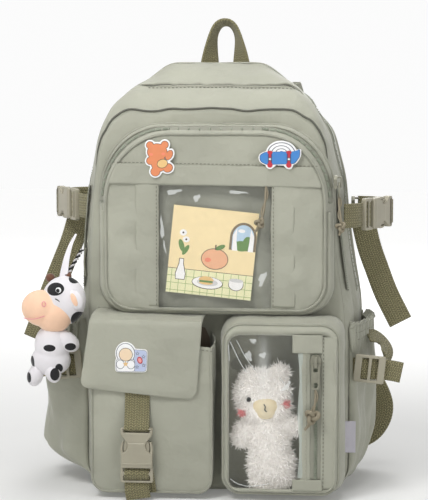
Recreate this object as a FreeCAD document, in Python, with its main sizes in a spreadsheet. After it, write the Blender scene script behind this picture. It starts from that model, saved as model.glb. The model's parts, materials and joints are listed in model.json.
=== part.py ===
import FreeCAD, Part
import math
import os
import re
import Sketcher

# School backpack, standing on its base.
# Frame in millimetres: origin on the floor under the middle of the bag, +X to the wearer's left
# (right as seen from the front), +Y towards the shoulder straps, +Z up. The pockets face -Y.

Vector = FreeCAD.Vector
doc = FreeCAD.newDocument("school_backpack")

DIMENSIONS = {
    # depth stations, front (-Y) to back (+Y)
    "back_face": 64, "back_inner": 58, "rear_seam": 12, "divider_back": -25, "divider_front": -28,
    "front_inner": -57, "front_face": -60,
    "wall": 3, "fabric": 1.6, "webbing_width": 25, "webbing_thick": 1.6, "vinyl": 0.5,
    # back outline: half widths and heights
    "foot": 3, "foot_half": 126, "hip_half": 141, "hip_low": 18, "hip_high": 185,
    "waist_half": 129, "waist_high": 310, "arm_half": 116, "arm_high": 362,
    "neck_half": 82, "neck_high": 404, "crown_half": 49, "crown_high": 430,
    # outline at the divider
    "mid_foot_half": 120, "mid_hip_half": 135, "mid_waist_half": 125, "mid_waist_high": 305,
    "mid_arm_half": 115, "mid_arm_high": 358, "mid_neck_half": 100, "mid_neck_high": 390,
    "mid_crown_half": 80, "mid_crown_high": 408,
    # front outline
    "front_foot_half": 114, "front_hip_half": 128, "front_hip_low": 16,
    "front_waist_half": 119, "front_waist_high": 295, "front_arm_half": 113, "front_arm_high": 350,
    "front_neck_half": 100, "front_neck_high": 375, "front_crown_half": 82, "front_crown_high": 384,
    # upper window pocket
    "upper_half": 115, "upper_low": 183, "upper_high": 368, "upper_corner": 32, "upper_depth": 22,
    "upper_window_half": 56, "upper_window_low": 189, "upper_window_high": 311,
    "header_high": 331, "facing_width": 23,
    # lower pockets
    "pocket_front": -104, "pocket_low": 5, "pocket_corner": 12,
    "left_outer": -126, "left_inner": -1, "left_high": 172,
    "flap_outer": -130, "flap_inner": -14, "flap_low": 101, "flap_high": 179, "flap_thick": 3.2,
    "right_inner": 7, "right_outer": 127, "right_high": 179,
    "lower_window_near": 15, "lower_window_far": 83, "lower_window_low": 12, "lower_window_high": 166,
    "window_zip_near": 95, "window_zip_far": 107, "window_zip_low": 22, "window_zip_high": 149,
    # side pockets
    "side_gap": 0.3, "side_outer": 166, "side_half_depth": 46, "side_low": 5, "side_high": 170,
    "side_depth_wall": 2.4,
    # buckles
    "buckle_width": 33, "buckle_thick": 8.4, "socket_length": 40, "plug_base": 12,
    "prong_length": 14, "prong_width": 5, "cavity_width": 27, "cavity_thick": 4.6,
    "strap_middle": -75, "plug_low": 59,
    # card and charms
    "card_width": 85, "card_height": 87, "card_thick": 0.6, "card_tilt": 5.7,
    "cord_diameter": 2.2,
    # shoulder straps
    "strap_width": 58, "strap_thick": 9, "strap_fan": 11, "strap_middle_x": 52,
    "strap_pivot": 404, "lock_out": 94, "lock_depth": 84, "lock_height": 185,
    # pads on the back and the sleeve behind them
    "pad_thick": 7, "pad_near": 18, "pad_far": 86, "pad_low": 150, "pad_high": 372,
    "pad_corner": 14, "lumbar_low": 48, "lumbar_high": 138,
    "sleeve_half": 112, "sleeve_front": 38, "sleeve_low": 24, "sleeve_high": 292,
    # zips: how far the tape stands out and how low each one reaches
    "zip_proud": 1.2, "main_zip_low": 200, "second_zip_low": 204, "upper_zip_low": 288,
    # bands sewn over the front of the upper pocket, and the film behind its window
    "front_cloth": 2, "band_thick": 1.2, "film_overlap": 5,
    # toggles on the side pockets
    "toggle_out": 153, "toggle_depth": -54.8, "toggle_height": 125.5,
    # handle: half its span and where it leaves the seam
    "handle_half": 25, "handle_foot": 432.2, "handle_top": 473, "handle_depth": 32,
    # badge plates
    "badge_thick": 2.4, "badge_gap": 0.2, "badge_corner": 9,
}

sheet = doc.addObject("Spreadsheet::Sheet", "dims")
for row, (alias, value) in enumerate(DIMENSIONS.items(), start=1):
    sheet.set(f"A{row}", alias)
    sheet.set(f"B{row}", str(value))
    sheet.setAlias(f"B{row}", alias)
doc.recompute()

parts = []
tube_report = []


def qualified(expression):
    """Put the sheet's name before each of its aliases."""
    def swap(match):
        word = match.group(0)
        return "dims." + word if word in DIMENSIONS else word
    return re.sub(r"[a-z_]+[a-z0-9_]*", swap, str(expression))


def number(expression):
    """The present value of an expression in the sheet's aliases."""
    value = sheet.evalExpression(qualified(expression))
    return float(getattr(value, "Value", value))


def bind(thing, prop, expression):
    thing.setExpression(prop, qualified(expression))


def finished(thing, label):
    thing.Label = label
    parts.append(thing)
    return thing


def helper(kind, name="helper"):
    return doc.addObject(kind, name)


# ---------------------------------------------------------------- sketches and plain solids

def polygon(sketch, points):
    """Closed loop of straight lines through points given as pairs of expressions."""
    first = len(sketch.Geometry)
    corners = [Vector(number(u), number(v), 0) for u, v in points]
    for index, corner in enumerate(corners):
        following = corners[(index + 1) % len(corners)]
        sketch.addGeometry(Part.LineSegment(corner, following))
    for index, (u, v) in enumerate(points):
        before = first + (index - 1) % len(points)
        sketch.addConstraint(Sketcher.Constraint("Coincident", before, 2, first + index, 1))
        pin_point(sketch, first + index, 1, u, v)


def pin_point(sketch, geometry, end, u, v):
    """Tie one end of a line to a place worked out from the sheet."""
    for kind, expression in (("DistanceX", u), ("DistanceY", v)):
        if abs(number(expression)) < 1e-9:
            expression = "0.0001"
        made = sketch.addConstraint(Sketcher.Constraint(kind, -1, 1, geometry, end, number(expression)))
        bind(sketch, f"Constraints[{made}]", expression)


def rounded_rectangle(sketch, left, right, low, high, radius):
    """Rectangle with four equal round corners."""
    first = len(sketch.Geometry)
    runs = [
        ((f"{left} + {radius}", low), (f"{right} - {radius}", low)),
        ((right, f"{low} + {radius}"), (right, f"{high} - {radius}")),
        ((f"{right} - {radius}", high), (f"{left} + {radius}", high)),
        ((left, f"{high} - {radius}"), (left, f"{low} + {radius}")),
    ]
    for start, end in runs:
        a = Vector(number(start[0]), number(start[1]), 0)
        b = Vector(number(end[0]), number(end[1]), 0)
        sketch.addGeometry(Part.LineSegment(a, b))
    turn = number(radius)
    centres = [
        (number(right) - turn, number(low) + turn, -90), (number(right) - turn, number(high) - turn, 0),
        (number(left) + turn, number(high) - turn, 90), (number(left) + turn, number(low) + turn, 180),
    ]
    for u, v, start in centres:
        circle = Part.Circle(Vector(u, v, 0), Vector(0, 0, 1), turn)
        arc = Part.ArcOfCircle(circle, math.radians(start), math.radians(start + 90))
        sketch.addGeometry(arc)
    for index, (start, end) in enumerate(runs):
        pin_point(sketch, first + index, 1, *start)
        pin_point(sketch, first + index, 2, *end)
        arc = first + 4 + index
        sketch.addConstraint(Sketcher.Constraint("Coincident", arc, 1, first + index, 2))
        sketch.addConstraint(Sketcher.Constraint("Coincident", arc, 2, first + (index + 1) % 4, 1))
        made = sketch.addConstraint(Sketcher.Constraint("Radius", arc, turn))
        bind(sketch, f"Constraints[{made}]", radius)


def plane_of(body, role):
    for feature in body.Origin.OriginFeatures:
        if feature.Role == role:
            return feature
    raise ValueError(role)


def body_sketch(body, role, name, offset="0"):
    sketch = body.newObject("Sketcher::SketchObject", name)
    sketch.AttachmentSupport = [(plane_of(body, role), "")]
    sketch.MapMode = "FlatFace"
    bind(sketch, "AttachmentOffset.Base.z", offset)
    return sketch


def pad(body, sketch, length):
    feature = body.newObject("PartDesign::Pad", "pad")
    feature.Profile = sketch
    bind(feature, "Length", length)
    sketch.Visibility = False
    return feature


def pocket(body, sketch, length):
    feature = body.newObject("PartDesign::Pocket", "pocket")
    feature.Profile = sketch
    bind(feature, "Length", length)
    return feature


def front_plate(label, back, front, loops):
    """Plate in the XZ plane from depth back to depth front; loops draw its outline and holes."""
    body = helper("PartDesign::Body", label)
    sketch = body_sketch(body, "XZ_Plane", "outline")
    for draw, arguments in loops:
        draw(sketch, *arguments)
    pad(body, sketch, f"({back}) - ({front})")
    bind(body, "Placement.Base.y", back)
    return body


def box(label, left, right, front, back, low, high):
    solid = helper("Part::Box", label)
    bind(solid, "Length", f"({right}) - ({left})")
    bind(solid, "Width", f"({back}) - ({front})")
    bind(solid, "Height", f"({high}) - ({low})")
    bind(solid, "Placement.Base.x", left)
    bind(solid, "Placement.Base.y", front)
    bind(solid, "Placement.Base.z", low)
    return solid


def moved(thing, target):
    """Carry a solid, placed as it was drawn, to its target place."""
    doc.recompute()
    drawn = thing.Placement
    bound = {path.lstrip(".") for path, _ in thing.ExpressionEngine}
    for axis in "xyz":
        if f"Placement.Base.{axis}" in bound:
            thing.setExpression(f"Placement.Base.{axis}", None)
    thing.Placement = target.multiply(drawn)
    return thing


def soft_block(centre, half_x, half_y, half_z, tilt=0.0):
    """Stuffed piece: a block whose every edge is rounded as far as its thinnest way allows."""
    block = helper("Part::Box", "block")
    bind(block, "Length", f"2 * {half_x}")
    bind(block, "Width", f"2 * {half_y}")
    bind(block, "Height", f"2 * {half_z}")
    doc.recompute()
    rounded = helper("Part::Fillet", "stuffed")
    rounded.Base = block
    radius = 0.92 * min(number(half_x), number(half_y), number(half_z))
    rounded.Edges = [(index + 1, radius, radius) for index in range(len(block.Shape.Edges))]
    turn = FreeCAD.Rotation(Vector(0, 1, 0), tilt)
    corner = Vector(-number(half_x), -number(half_y), -number(half_z))
    rounded.Placement = FreeCAD.Placement(Vector(*centre) + turn.multVec(corner), turn)
    return rounded


def fused(label, solids):
    joined = helper("Part::MultiFuse", label)
    joined.Shapes = solids
    return joined


def grouped(label, solids):
    group = helper("Part::Compound", label)
    group.Links = solids
    return group


def cut(label, base, tool):
    result = helper("Part::Cut", label)
    result.Base = base
    result.Tool = tool
    return result


PLANES = {
    "plan": FreeCAD.Rotation(),
    "front": FreeCAD.Rotation(Vector(1, 0, 0), 90),
    "side": FreeCAD.Rotation(Vector(1, 1, 1), 120),
}


def band(label, view, points, half, length, offset=(0, 0, 0)):
    """Strip that follows a path drawn in one view: half is half its breadth in that view,
    length is how far it runs square to the view."""
    sketch = helper("Sketcher::SketchObject", "path")
    sketch.Placement = FreeCAD.Placement(Vector(0, 0, 0), PLANES[view])
    corners = [Vector(number(u), number(v), 0) for u, v in points]
    for index in range(len(corners) - 1):
        sketch.addGeometry(Part.LineSegment(corners[index], corners[index + 1]))
    for index, (u, v) in enumerate(points[:-1]):
        pin_point(sketch, index, 1, u, v)
        if index:
            sketch.addConstraint(Sketcher.Constraint("Coincident", index - 1, 2, index, 1))
    pin_point(sketch, len(points) - 2, 2, *points[-1])
    ribbon = helper("Part::Offset2D", "ribbon")
    ribbon.Source = sketch
    ribbon.Fill = True
    ribbon.Join = 0
    bind(ribbon, "Value", half)
    solid = helper("Part::Extrusion", label)
    solid.Base = ribbon
    solid.DirMode = "Normal"
    solid.Solid = True
    bind(solid, "LengthFwd", length)
    solid.Placement = FreeCAD.Placement(Vector(*offset), FreeCAD.Rotation())
    return solid


# ---------------------------------------------------------------- outlines of the bag

def mirrored(half_points):
    """Both halves of an outline whose right half runs from the foot to the crown."""
    right = [(x, z) for x, z in half_points]
    left = [(f"-({x})", z) for x, z in reversed(half_points)]
    return right + left


BACK_HALF = [
    ("foot_half", "foot"), ("hip_half", "hip_low"), ("hip_half", "hip_high"),
    ("waist_half", "waist_high"), ("arm_half", "arm_high"), ("neck_half", "neck_high"),
    ("crown_half", "crown_high"),
]
MIDDLE_HALF = [
    ("mid_foot_half", "foot"), ("mid_hip_half", "hip_low"), ("mid_hip_half", "hip_high"),
    ("mid_waist_half", "mid_waist_high"), ("mid_arm_half", "mid_arm_high"),
    ("mid_neck_half", "mid_neck_high"), ("mid_crown_half", "mid_crown_high"),
]
FRONT_HALF = [
    ("front_foot_half", "foot"), ("front_hip_half", "front_hip_low"),
    ("front_hip_half", "hip_high"), ("front_waist_half", "front_waist_high"),
    ("front_arm_half", "front_arm_high"), ("front_neck_half", "front_neck_high"),
    ("front_crown_half", "front_crown_high"),
]
# how far each outline point moves, across and up, for each millimetre that the wall is thick
GROW = [(-0.4, -1), (1, -0.4), (1, 0.1), (1, 0.15), (1, 0.4), (0.7, 0.9), (0.3, 1)]


def grown(half_points, amount):
    """The outline moved outwards by amount, or inwards where amount is negative."""
    moved = []
    for (x, z), (across, up) in zip(half_points, GROW):
        moved.append((f"{x} + ({across}) * ({amount})", f"{z} + ({up}) * ({amount})"))
    return moved


def between(first, second, share):
    """Outline part of the way from the first to the second."""
    mixed = []
    for (x1, z1), (x2, z2) in zip(first, second):
        x = f"({x1}) * (1 - {share}) + ({x2}) * {share}"
        z = f"({z1}) * (1 - {share}) + ({z2}) * {share}"
        mixed.append((x, z))
    return mixed


def outline_plate(label, half_points, back, front):
    return front_plate(label, back, front, [(polygon, [mirrored(half_points)])])


def outline_ring(label, half_points, thickness, back, front):
    outer = mirrored(half_points)
    inner = mirrored(grown(half_points, f"-({thickness})"))
    return front_plate(label, back, front, [(polygon, [outer]), (polygon, [inner])])


def lofted_ring(label, rear, fore, inside, back, front):
    """Tapered wall between two outlines; inside is how far in its inner face stands."""
    body = helper("PartDesign::Body", label)
    depth = f"({back}) - ({front})"
    for kind, amount, name in (("AdditiveLoft", "0", "outer"), ("SubtractiveLoft", inside, "inner")):
        sketches = []
        for half_points, offset in ((rear, "0"), (fore, depth)):
            sketch = body_sketch(body, "XZ_Plane", name, offset)
            polygon(sketch, mirrored(grown(half_points, amount)))
            sketches.append(sketch)
        doc.recompute()
        loft = body.newObject(f"PartDesign::{kind}", name)
        loft.Profile = sketches[0]
        loft.Sections = [sketches[1]]
        loft.Ruled = True
        doc.recompute()
    bind(body, "Placement.Base.y", back)
    return body


def above(label, solid, height):
    """The part of a solid above a height."""
    blank = box("below", "-200", "200", "-120", "120", "-20", height)
    return cut(label, solid, blank)


# ---------------------------------------------------------------- bag shell

def make_back_panel():
    solids = [outline_plate("back_plate", BACK_HALF, "back_face", "back_inner")]
    pads = [("-pad_far", "-pad_near", "pad_low", "pad_high"),
            ("pad_near", "pad_far", "pad_low", "pad_high"),
            ("-pad_far", "pad_far", "lumbar_low", "lumbar_high")]
    for pad_box in pads:
        solids.append(front_plate("pad", "back_face + pad_thick", "back_face", [
            (rounded_rectangle, [*pad_box, "pad_corner"])]))
    finished(fused("back_panel", solids), "back_panel")


def make_laptop_sleeve():
    outer = box("sleeve_outer", "-sleeve_half", "sleeve_half", "sleeve_front", "back_inner",
                "sleeve_low", "sleeve_high")
    inner = box("sleeve_inner", "-sleeve_half + wall", "sleeve_half - wall", "sleeve_front + wall",
                "back_inner + 1", "sleeve_low + wall", "sleeve_high + 8")
    finished(cut("laptop_sleeve", outer, inner), "laptop_sleeve")


def make_shell():
    make_back_panel()
    make_laptop_sleeve()
    finished(outline_ring("gusset_rear", BACK_HALF, "wall", "back_inner", "rear_seam"), "gusset_rear")
    finished(lofted_ring("gusset_front", BACK_HALF, MIDDLE_HALF, "-wall", "rear_seam", "divider_back"),
             "gusset_front")
    finished(outline_plate("divider_panel", MIDDLE_HALF, "divider_back", "divider_front"),
             "divider_panel")
    finished(lofted_ring("second_gusset", MIDDLE_HALF, FRONT_HALF, "-wall", "divider_front",
                         "front_inner"), "second_gusset")
    finished(outline_plate("front_panel", FRONT_HALF, "front_inner", "front_face"), "front_panel")
    finished(box("base_panel", "-front_foot_half + 2", "front_foot_half - 2", "front_face",
                 "back_face", "0", "foot"), "base_panel")
    zip_band("main_zip", BACK_HALF, MIDDLE_HALF, (0.2, 0.5), ("rear_seam", "divider_back"))
    zip_band("second_zip", MIDDLE_HALF, FRONT_HALF, (0.55, 0.9), ("divider_front", "front_inner"))


def zip_band(label, rear, fore, shares, depths):
    """Zip tape laid over the top of a gusset, between two shares of the way across it."""
    outlines = [grown(between(rear, fore, str(share)), "zip_proud") for share in shares]
    places = [f"({depths[0]}) * {1 - share} + ({depths[1]}) * {share}" for share in shares]
    ring = lofted_ring(f"{label}_ring", *outlines, "-zip_proud", *places)
    finished(above(label, ring, f"{label}_low"), label)


# ---------------------------------------------------------------- upper window pocket

def make_upper_pocket():
    edge = ["-upper_half", "upper_half", "upper_low", "upper_high", "upper_corner"]
    inner = ["-upper_half + wall", "upper_half - wall", "upper_low + wall", "upper_high - wall",
             "upper_corner - wall"]
    face = "front_face - upper_depth"
    finished(front_plate("upper_pocket_gusset", "front_face", face, [
        (rounded_rectangle, edge), (rounded_rectangle, inner)]), "upper_pocket_gusset")
    window = ["-upper_window_half", "upper_window_half", "upper_window_low", "upper_window_high", "3"]
    finished(front_plate("upper_pocket_front", face, f"{face} - front_cloth", [
        (rounded_rectangle, edge), (rounded_rectangle, window)]), "upper_pocket_front")
    finished(front_plate("window_upper", f"{face} + vinyl", face, [
        (rounded_rectangle, ["-upper_window_half - film_overlap", "upper_window_half + film_overlap",
                             "upper_window_low - 2.5", "upper_window_high + film_overlap", "3"])]),
        "window_upper")
    outer = ["-upper_half - zip_proud", "upper_half + zip_proud", "upper_low - zip_proud",
             "upper_high + zip_proud", "upper_corner + zip_proud"]
    ring = front_plate("zip_band", "front_face - 9", "front_face - 19", [
        (rounded_rectangle, outer), (rounded_rectangle, edge)])
    finished(above("upper_zip", ring, "upper_zip_low"), "upper_zip")
    under = f"{face} - front_cloth"
    over = f"{under} - band_thick"
    trim = [box("header_band", "-upper_half + 2", "upper_half - 2", over, under,
                "upper_window_high", "header_high")]
    for sign in ("-1", "1"):
        near = f"{sign} * (upper_window_half + facing_width * 0.5) - facing_width * 0.5"
        far = f"{sign} * (upper_window_half + facing_width * 0.5) + facing_width * 0.5"
        trim.append(box("facing", near, far, over, under, "upper_window_low", "upper_window_high"))
    finished(grouped("upper_trim", trim), "upper_trim")
    card = box("card_insert", "-card_width / 2", "card_width / 2", "0", "card_thick",
               "-card_height / 2", "card_height / 2")
    finished(placed(card, -3, number(face) + 2, 244, 0, number("card_tilt")), "card_insert")


# ---------------------------------------------------------------- lower pockets

def make_flap_pocket():
    outer = box("flap_pocket_outer", "left_outer", "left_inner", "pocket_front", "front_face",
                "pocket_low", "left_high")
    rounded = helper("Part::Fillet", "flap_pocket_round")
    doc.recompute()
    rounded.Base = outer
    radius = number("pocket_corner")
    edges = []
    for index, edge in enumerate(outer.Shape.Edges, start=1):
        spot = edge.BoundBox
        if spot.YLength > 1 and spot.ZMax < number("pocket_low") + 1:
            edges.append((index, radius, radius))
    rounded.Edges = edges
    inner = box("flap_pocket_inner", "left_outer + fabric", "left_inner - fabric",
                "pocket_front + fabric", "front_face - fabric", "pocket_low + fabric + 6",
                "left_high + 10")
    finished(cut("flap_pocket_body", rounded, inner), "flap_pocket_body")
    finished(front_plate("flap", "pocket_front - 0.4", "pocket_front - 0.4 - flap_thick", [
        (rounded_rectangle, ["flap_outer", "flap_inner", "flap_low", "flap_high", "7"])]), "flap")
    half = "webbing_width / 2"
    finished(box("flap_strap", f"strap_middle - {half}", f"strap_middle + {half}",
                 "pocket_front - 0.4 - flap_thick - webbing_thick", "pocket_front - 0.4 - flap_thick",
                 "plug_low + plug_base", "flap_low + 16"), "flap_strap")


def make_buckle_plug(label):
    """Plug in its own frame: prongs point down from the base at height 0, faces square to Y."""
    middle = "plug_base"
    base = front_plate("plug_base", "buckle_thick / 2", "-buckle_thick / 2", [
        (rounded_rectangle, ["-buckle_width / 2", "buckle_width / 2", "0.3", middle, "3"]),
        (polygon, [[("-13", "4.4"), ("13", "4.4"), ("13", "8.4"), ("-13", "8.4")]])])
    solids = [base]
    half_thick = "cavity_thick / 2 - 0.3"
    for place in ("-10.4", "0", "10.4"):
        left = f"{place} - prong_width / 2"
        right = f"{place} + prong_width / 2"
        solids.append(front_plate("prong", half_thick, f"-({half_thick})", [
            (polygon, [[(left, "1"), (left, "-prong_length + 2"), (f"{left} + 1", "-prong_length"),
                        (f"{right} - 1", "-prong_length"), (right, "-prong_length + 2"),
                        (right, "1")]])]))
    return fused(label, solids)


def make_buckle_socket(label):
    """Socket in the plug's frame, with its mouth at height 0 and a ladder bar at its foot."""
    waist = "buckle_width / 2 - 2.6"
    outline = [("buckle_width / 2", "0"), (waist, "-7"), (waist, "-15"), ("buckle_width / 2", "-24"),
               ("buckle_width / 2 - 1", "-socket_length"), ("-buckle_width / 2 + 1", "-socket_length"),
               ("-buckle_width / 2", "-24"), (f"-({waist})", "-15"), (f"-({waist})", "-7"),
               ("-buckle_width / 2", "0")]
    loops = [(polygon, [outline])]
    for low in ("-socket_length + 3", "-socket_length + 10"):
        high = f"{low} + 4"
        loops.append((polygon, [[("-13", low), ("13", low), ("13", high), ("-13", high)]]))
    shell = front_plate("socket_shell", "buckle_thick / 2", "-buckle_thick / 2", loops)
    cavity = box("cavity", "-cavity_width / 2", "cavity_width / 2", "-cavity_thick / 2",
                 "cavity_thick / 2", "-prong_length - 4", "1")
    return cut(label, shell, cavity)


def placed(thing, x, y, z, turn=0.0, roll=0.0):
    """Turn about Z and roll about the depth axis, then put in place."""
    rotation = FreeCAD.Rotation(Vector(0, 0, 1), turn).multiply(FreeCAD.Rotation(Vector(0, 1, 0), roll))
    return moved(thing, FreeCAD.Placement(Vector(x, y, z), rotation))


def make_flap_buckle():
    depth = number("pocket_front") - 6.2 - number("webbing_thick") / 2
    middle = number("strap_middle")
    low = number("plug_low")
    finished(placed(make_buckle_plug("flap_buckle_plug"), middle, depth - 0.4, low),
             "flap_buckle_plug")
    finished(placed(make_buckle_socket("flap_buckle_socket"), middle, depth - 0.4, low),
             "flap_buckle_socket")
    path = [("pocket_front - 1.2", "30"), ("pocket_front - 1.2", "9"), ("pocket_front - 1.6", "2.2"),
            ("pocket_front - 14", "2.0")]
    lower = band("flap_strap_lower", "side", path, "webbing_thick / 2", "webbing_width",
                 (middle - number("webbing_width") / 2, 0, 0))
    finished(lower, "flap_strap_lower")


def make_window_pocket():
    edge = ["right_inner", "right_outer", "pocket_low", "right_high", "pocket_corner"]
    inner = ["right_inner + fabric", "right_outer - fabric", "pocket_low + fabric",
             "right_high - fabric", "pocket_corner - fabric"]
    finished(front_plate("window_pocket_gusset", "front_face", "pocket_front + 2", [
        (rounded_rectangle, edge), (rounded_rectangle, inner)]), "window_pocket_gusset")
    window = ["lower_window_near", "lower_window_far", "lower_window_low", "lower_window_high", "5"]
    slot = [("window_zip_near", "window_zip_low"), ("window_zip_far", "window_zip_low"),
            ("window_zip_far", "window_zip_high"), ("window_zip_near", "window_zip_high")]
    finished(front_plate("window_pocket_front", "pocket_front + 2", "pocket_front", [
        (rounded_rectangle, edge), (rounded_rectangle, window), (polygon, [slot])]),
        "window_pocket_front")
    finished(front_plate("window_lower", "pocket_front + 2 + vinyl", "pocket_front + 2", [
        (rounded_rectangle, ["lower_window_near - 4", "lower_window_far + 4", "lower_window_low - 4",
                             "lower_window_high + 4", "5"])]), "window_lower")
    finished(box("window_zip", "window_zip_near", "window_zip_far", "pocket_front + 0.4",
                 "pocket_front + 2", "window_zip_low", "window_zip_high"), "window_zip")


# stuffed toys: the middle of each lobe, half its size along X, Y and Z, and its tilt in degrees
LAMB_HEAD = [
    ((46, -82, 105), (28, 17, 26.8), 0),  # skull
    ((47, -95.4, 88), (11, 5, 9.4), 0),  # snout
    ((26, -80, 127), (8, 7, 9), -15),  # ears
    ((66, -80, 127), (8, 7, 9), 15),
]
LAMB_BODY = [
    ((52, -82, 45), (26, 17, 32), 0),  # trunk
    ((27, -84, 56), (15, 8.4, 8), -25),  # arms
    ((77, -84, 56), (15, 8.4, 8), 25),
    ((38, -82.5, 20.6), (11, 13.6, 13), 0),  # legs
    ((66, -82.5, 20.6), (11, 13.6, 13), 0),
]
COW_HEAD = [
    ((-153, -75, 192), (20, 16, 26), 0),  # skull
    ((-172, -79, 183.2), (23, 17, 21), 0),  # muzzle
    ((-139, -77, 192), (6, 5, 11), -12),  # ear
    ((-166, -76, 213), (4.4, 4, 8), -18),  # horn
]
COW_BODY = [
    ((-170, -76, 141.4), (20, 16, 20), 0),  # trunk
    ((-147, -79, 145), (13, 8, 8.6), 30),  # arm
    ((-182, -80, 117), (8, 9, 9.2), 0),  # legs
    ((-163, -80, 117), (9, 9.1, 9.2), 0),
]


def stuffed(label, lobes):
    finished(fused(label, [soft_block(centre, *half, tilt) for centre, half, tilt in lobes]), label)


# ---------------------------------------------------------------- side pockets and side straps

def make_side_pocket(side):
    label = "side_pocket_right" if side > 0 else "side_pocket_left"
    near = "hip_half + side_gap"
    body = helper("PartDesign::Body", label)
    outline = body_sketch(body, "XY_Plane", "outline")
    wall = "side_depth_wall"
    reach = f"side_outer - ({near})"
    rim = [("0", "-side_half_depth"), (f"{side} * ({reach} - 8)", "-side_half_depth"),
           (f"{side} * ({reach})", "-side_half_depth + 8"), (f"{side} * ({reach})", "side_half_depth - 8"),
           (f"{side} * ({reach} - 8)", "side_half_depth"), ("0", "side_half_depth")]
    polygon(outline, rim)
    pad(body, outline, "side_high - side_low")
    doc.recompute()
    hollow = body_sketch(body, "XY_Plane", "hollow", "side_high - side_low")
    inside = [(f"{side} * {wall} * 0.5", f"-side_half_depth + {wall}"),
              (f"{side} * ({reach} - 8)", f"-side_half_depth + {wall}"),
              (f"{side} * ({reach} - {wall})", "-side_half_depth + 8"),
              (f"{side} * ({reach} - {wall})", "side_half_depth - 8"),
              (f"{side} * ({reach} - 8)", f"side_half_depth - {wall}"),
              (f"{side} * {wall} * 0.5", f"side_half_depth - {wall}")]
    polygon(hollow, inside)
    pocket(body, hollow, f"side_high - side_low - {wall}")
    bind(body, "Placement.Base.x", f"{side} * ({near})")
    bind(body, "Placement.Base.z", "side_low")
    finished(body, label)


STRAP_TURN = 62
SOCKET_START = (147, -26)
STRAP_LOW = {-1: 274, 1: 266}


def along_strap(distance, side):
    """Place on the line of a side buckle, this far from its socket's closed end."""
    angle = math.radians(STRAP_TURN)
    x = SOCKET_START[0] + distance * math.cos(angle)
    y = SOCKET_START[1] + distance * math.sin(angle)
    return side * x, y


def turned_strap(solid, side):
    """Lay a buckle made in the XZ plane along the line of a side strap."""
    reach = number("socket_length")
    x, y = along_strap(reach, side)
    z = STRAP_LOW[side] + number("webbing_width") / 2
    turn = STRAP_TURN if side > 0 else -STRAP_TURN
    return placed(solid, x, y, z, turn, 90 * side)


def make_side_straps():
    low_straps = []
    sockets = []
    for side in (-1, 1):
        name = "right" if side > 0 else "left"
        path = [(f"{side} * 129.5", "-44"), (f"{side} * 138", "-39"), (f"{side} * 145.8", "-28.2")]
        low_straps.append(band("strap", "plan", path, "webbing_thick / 2", "webbing_width",
                               (0, 0, STRAP_LOW[side])))
        sockets.append(turned_strap(make_buckle_socket("side_socket"), side))
        finished(turned_strap(make_buckle_plug("side_plug"), side), f"side_plug_{name}")
        end_x, end_y = along_strap(number("socket_length + plug_base") + 1.4, side)
        rear = [(str(end_x), str(end_y)), (f"{side} * 170.5", "30"), (f"{side} * 156", "52"),
                (f"{side} * 137", "59.5")]
        webbing = band("rear", "plan", rear, "webbing_thick / 2", "webbing_width",
                       (0, 0, STRAP_LOW[side]))
        tail_path = [(f"{side} * 161", str(STRAP_LOW[side] - 18)), (f"{side} * 168", "222"),
                     (f"{side} * 178", "190"), (f"{side} * 190", "160")]
        tail = band("tail", "front", tail_path, "webbing_width / 2", "webbing_thick", (0, 12, 0))
        finished(grouped(f"side_tail_{name}", [webbing, tail]), f"side_tail_{name}")
    finished(grouped("side_webbing", low_straps), "side_webbing")
    finished(grouped("side_sockets", sockets), "side_sockets")


def ladder_frame(label, half_wide, half_tall, half_thick, slot_half, slot_top):
    """Flat frame with two slots that a strap is threaded through."""
    slots = []
    for low, high in ((-slot_top, -2), (2, slot_top)):
        slots.append((polygon, [[(str(u), str(v)) for u, v in (
            (-slot_half, low), (slot_half, low), (slot_half, high), (-slot_half, high))]]))
    edge = [str(value) for value in (-half_wide, half_wide, -half_tall, half_tall, 3)]
    return front_plate(label, str(half_thick), str(-half_thick), [(rounded_rectangle, edge), *slots])


def make_pocket_straps():
    locks = []
    straps = []
    for side in (-1, 1):
        frame = ladder_frame("lock", 16, 14, 2.2, 12.6, 10)
        locks.append(placed(frame, side * number("toggle_out"), number("toggle_depth"),
                            number("toggle_height"), 0, 90))
        path = [(f"{side} * 141.8", "-51.5"), (f"{side} * 158", "-51"), (f"{side} * 168.8", "-42"),
                (f"{side} * 169.4", "-20")]
        straps.append(band("strap", "plan", path, "webbing_thick / 2", "webbing_width",
                           (0, 0, number("toggle_height - webbing_width / 2"))))
    finished(grouped("side_locks", locks), "side_locks")
    finished(grouped("pocket_straps", straps), "pocket_straps")


# ---------------------------------------------------------------- handle and shoulder straps

def make_handle():
    right = [("handle_half", "handle_foot"), ("handle_half - 2", "handle_top - 27"),
             ("handle_half - 7", "handle_top - 13"), ("handle_half * 0.36", "handle_top - 3"),
             ("0", "handle_top")]
    left = [(f"-({x})", z) for x, z in right[:-1]]
    finished(band("grab_handle", "front", left + right[::-1], "webbing_thick", "webbing_width",
                  (0, number("handle_depth"), 0)), "grab_handle")


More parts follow.
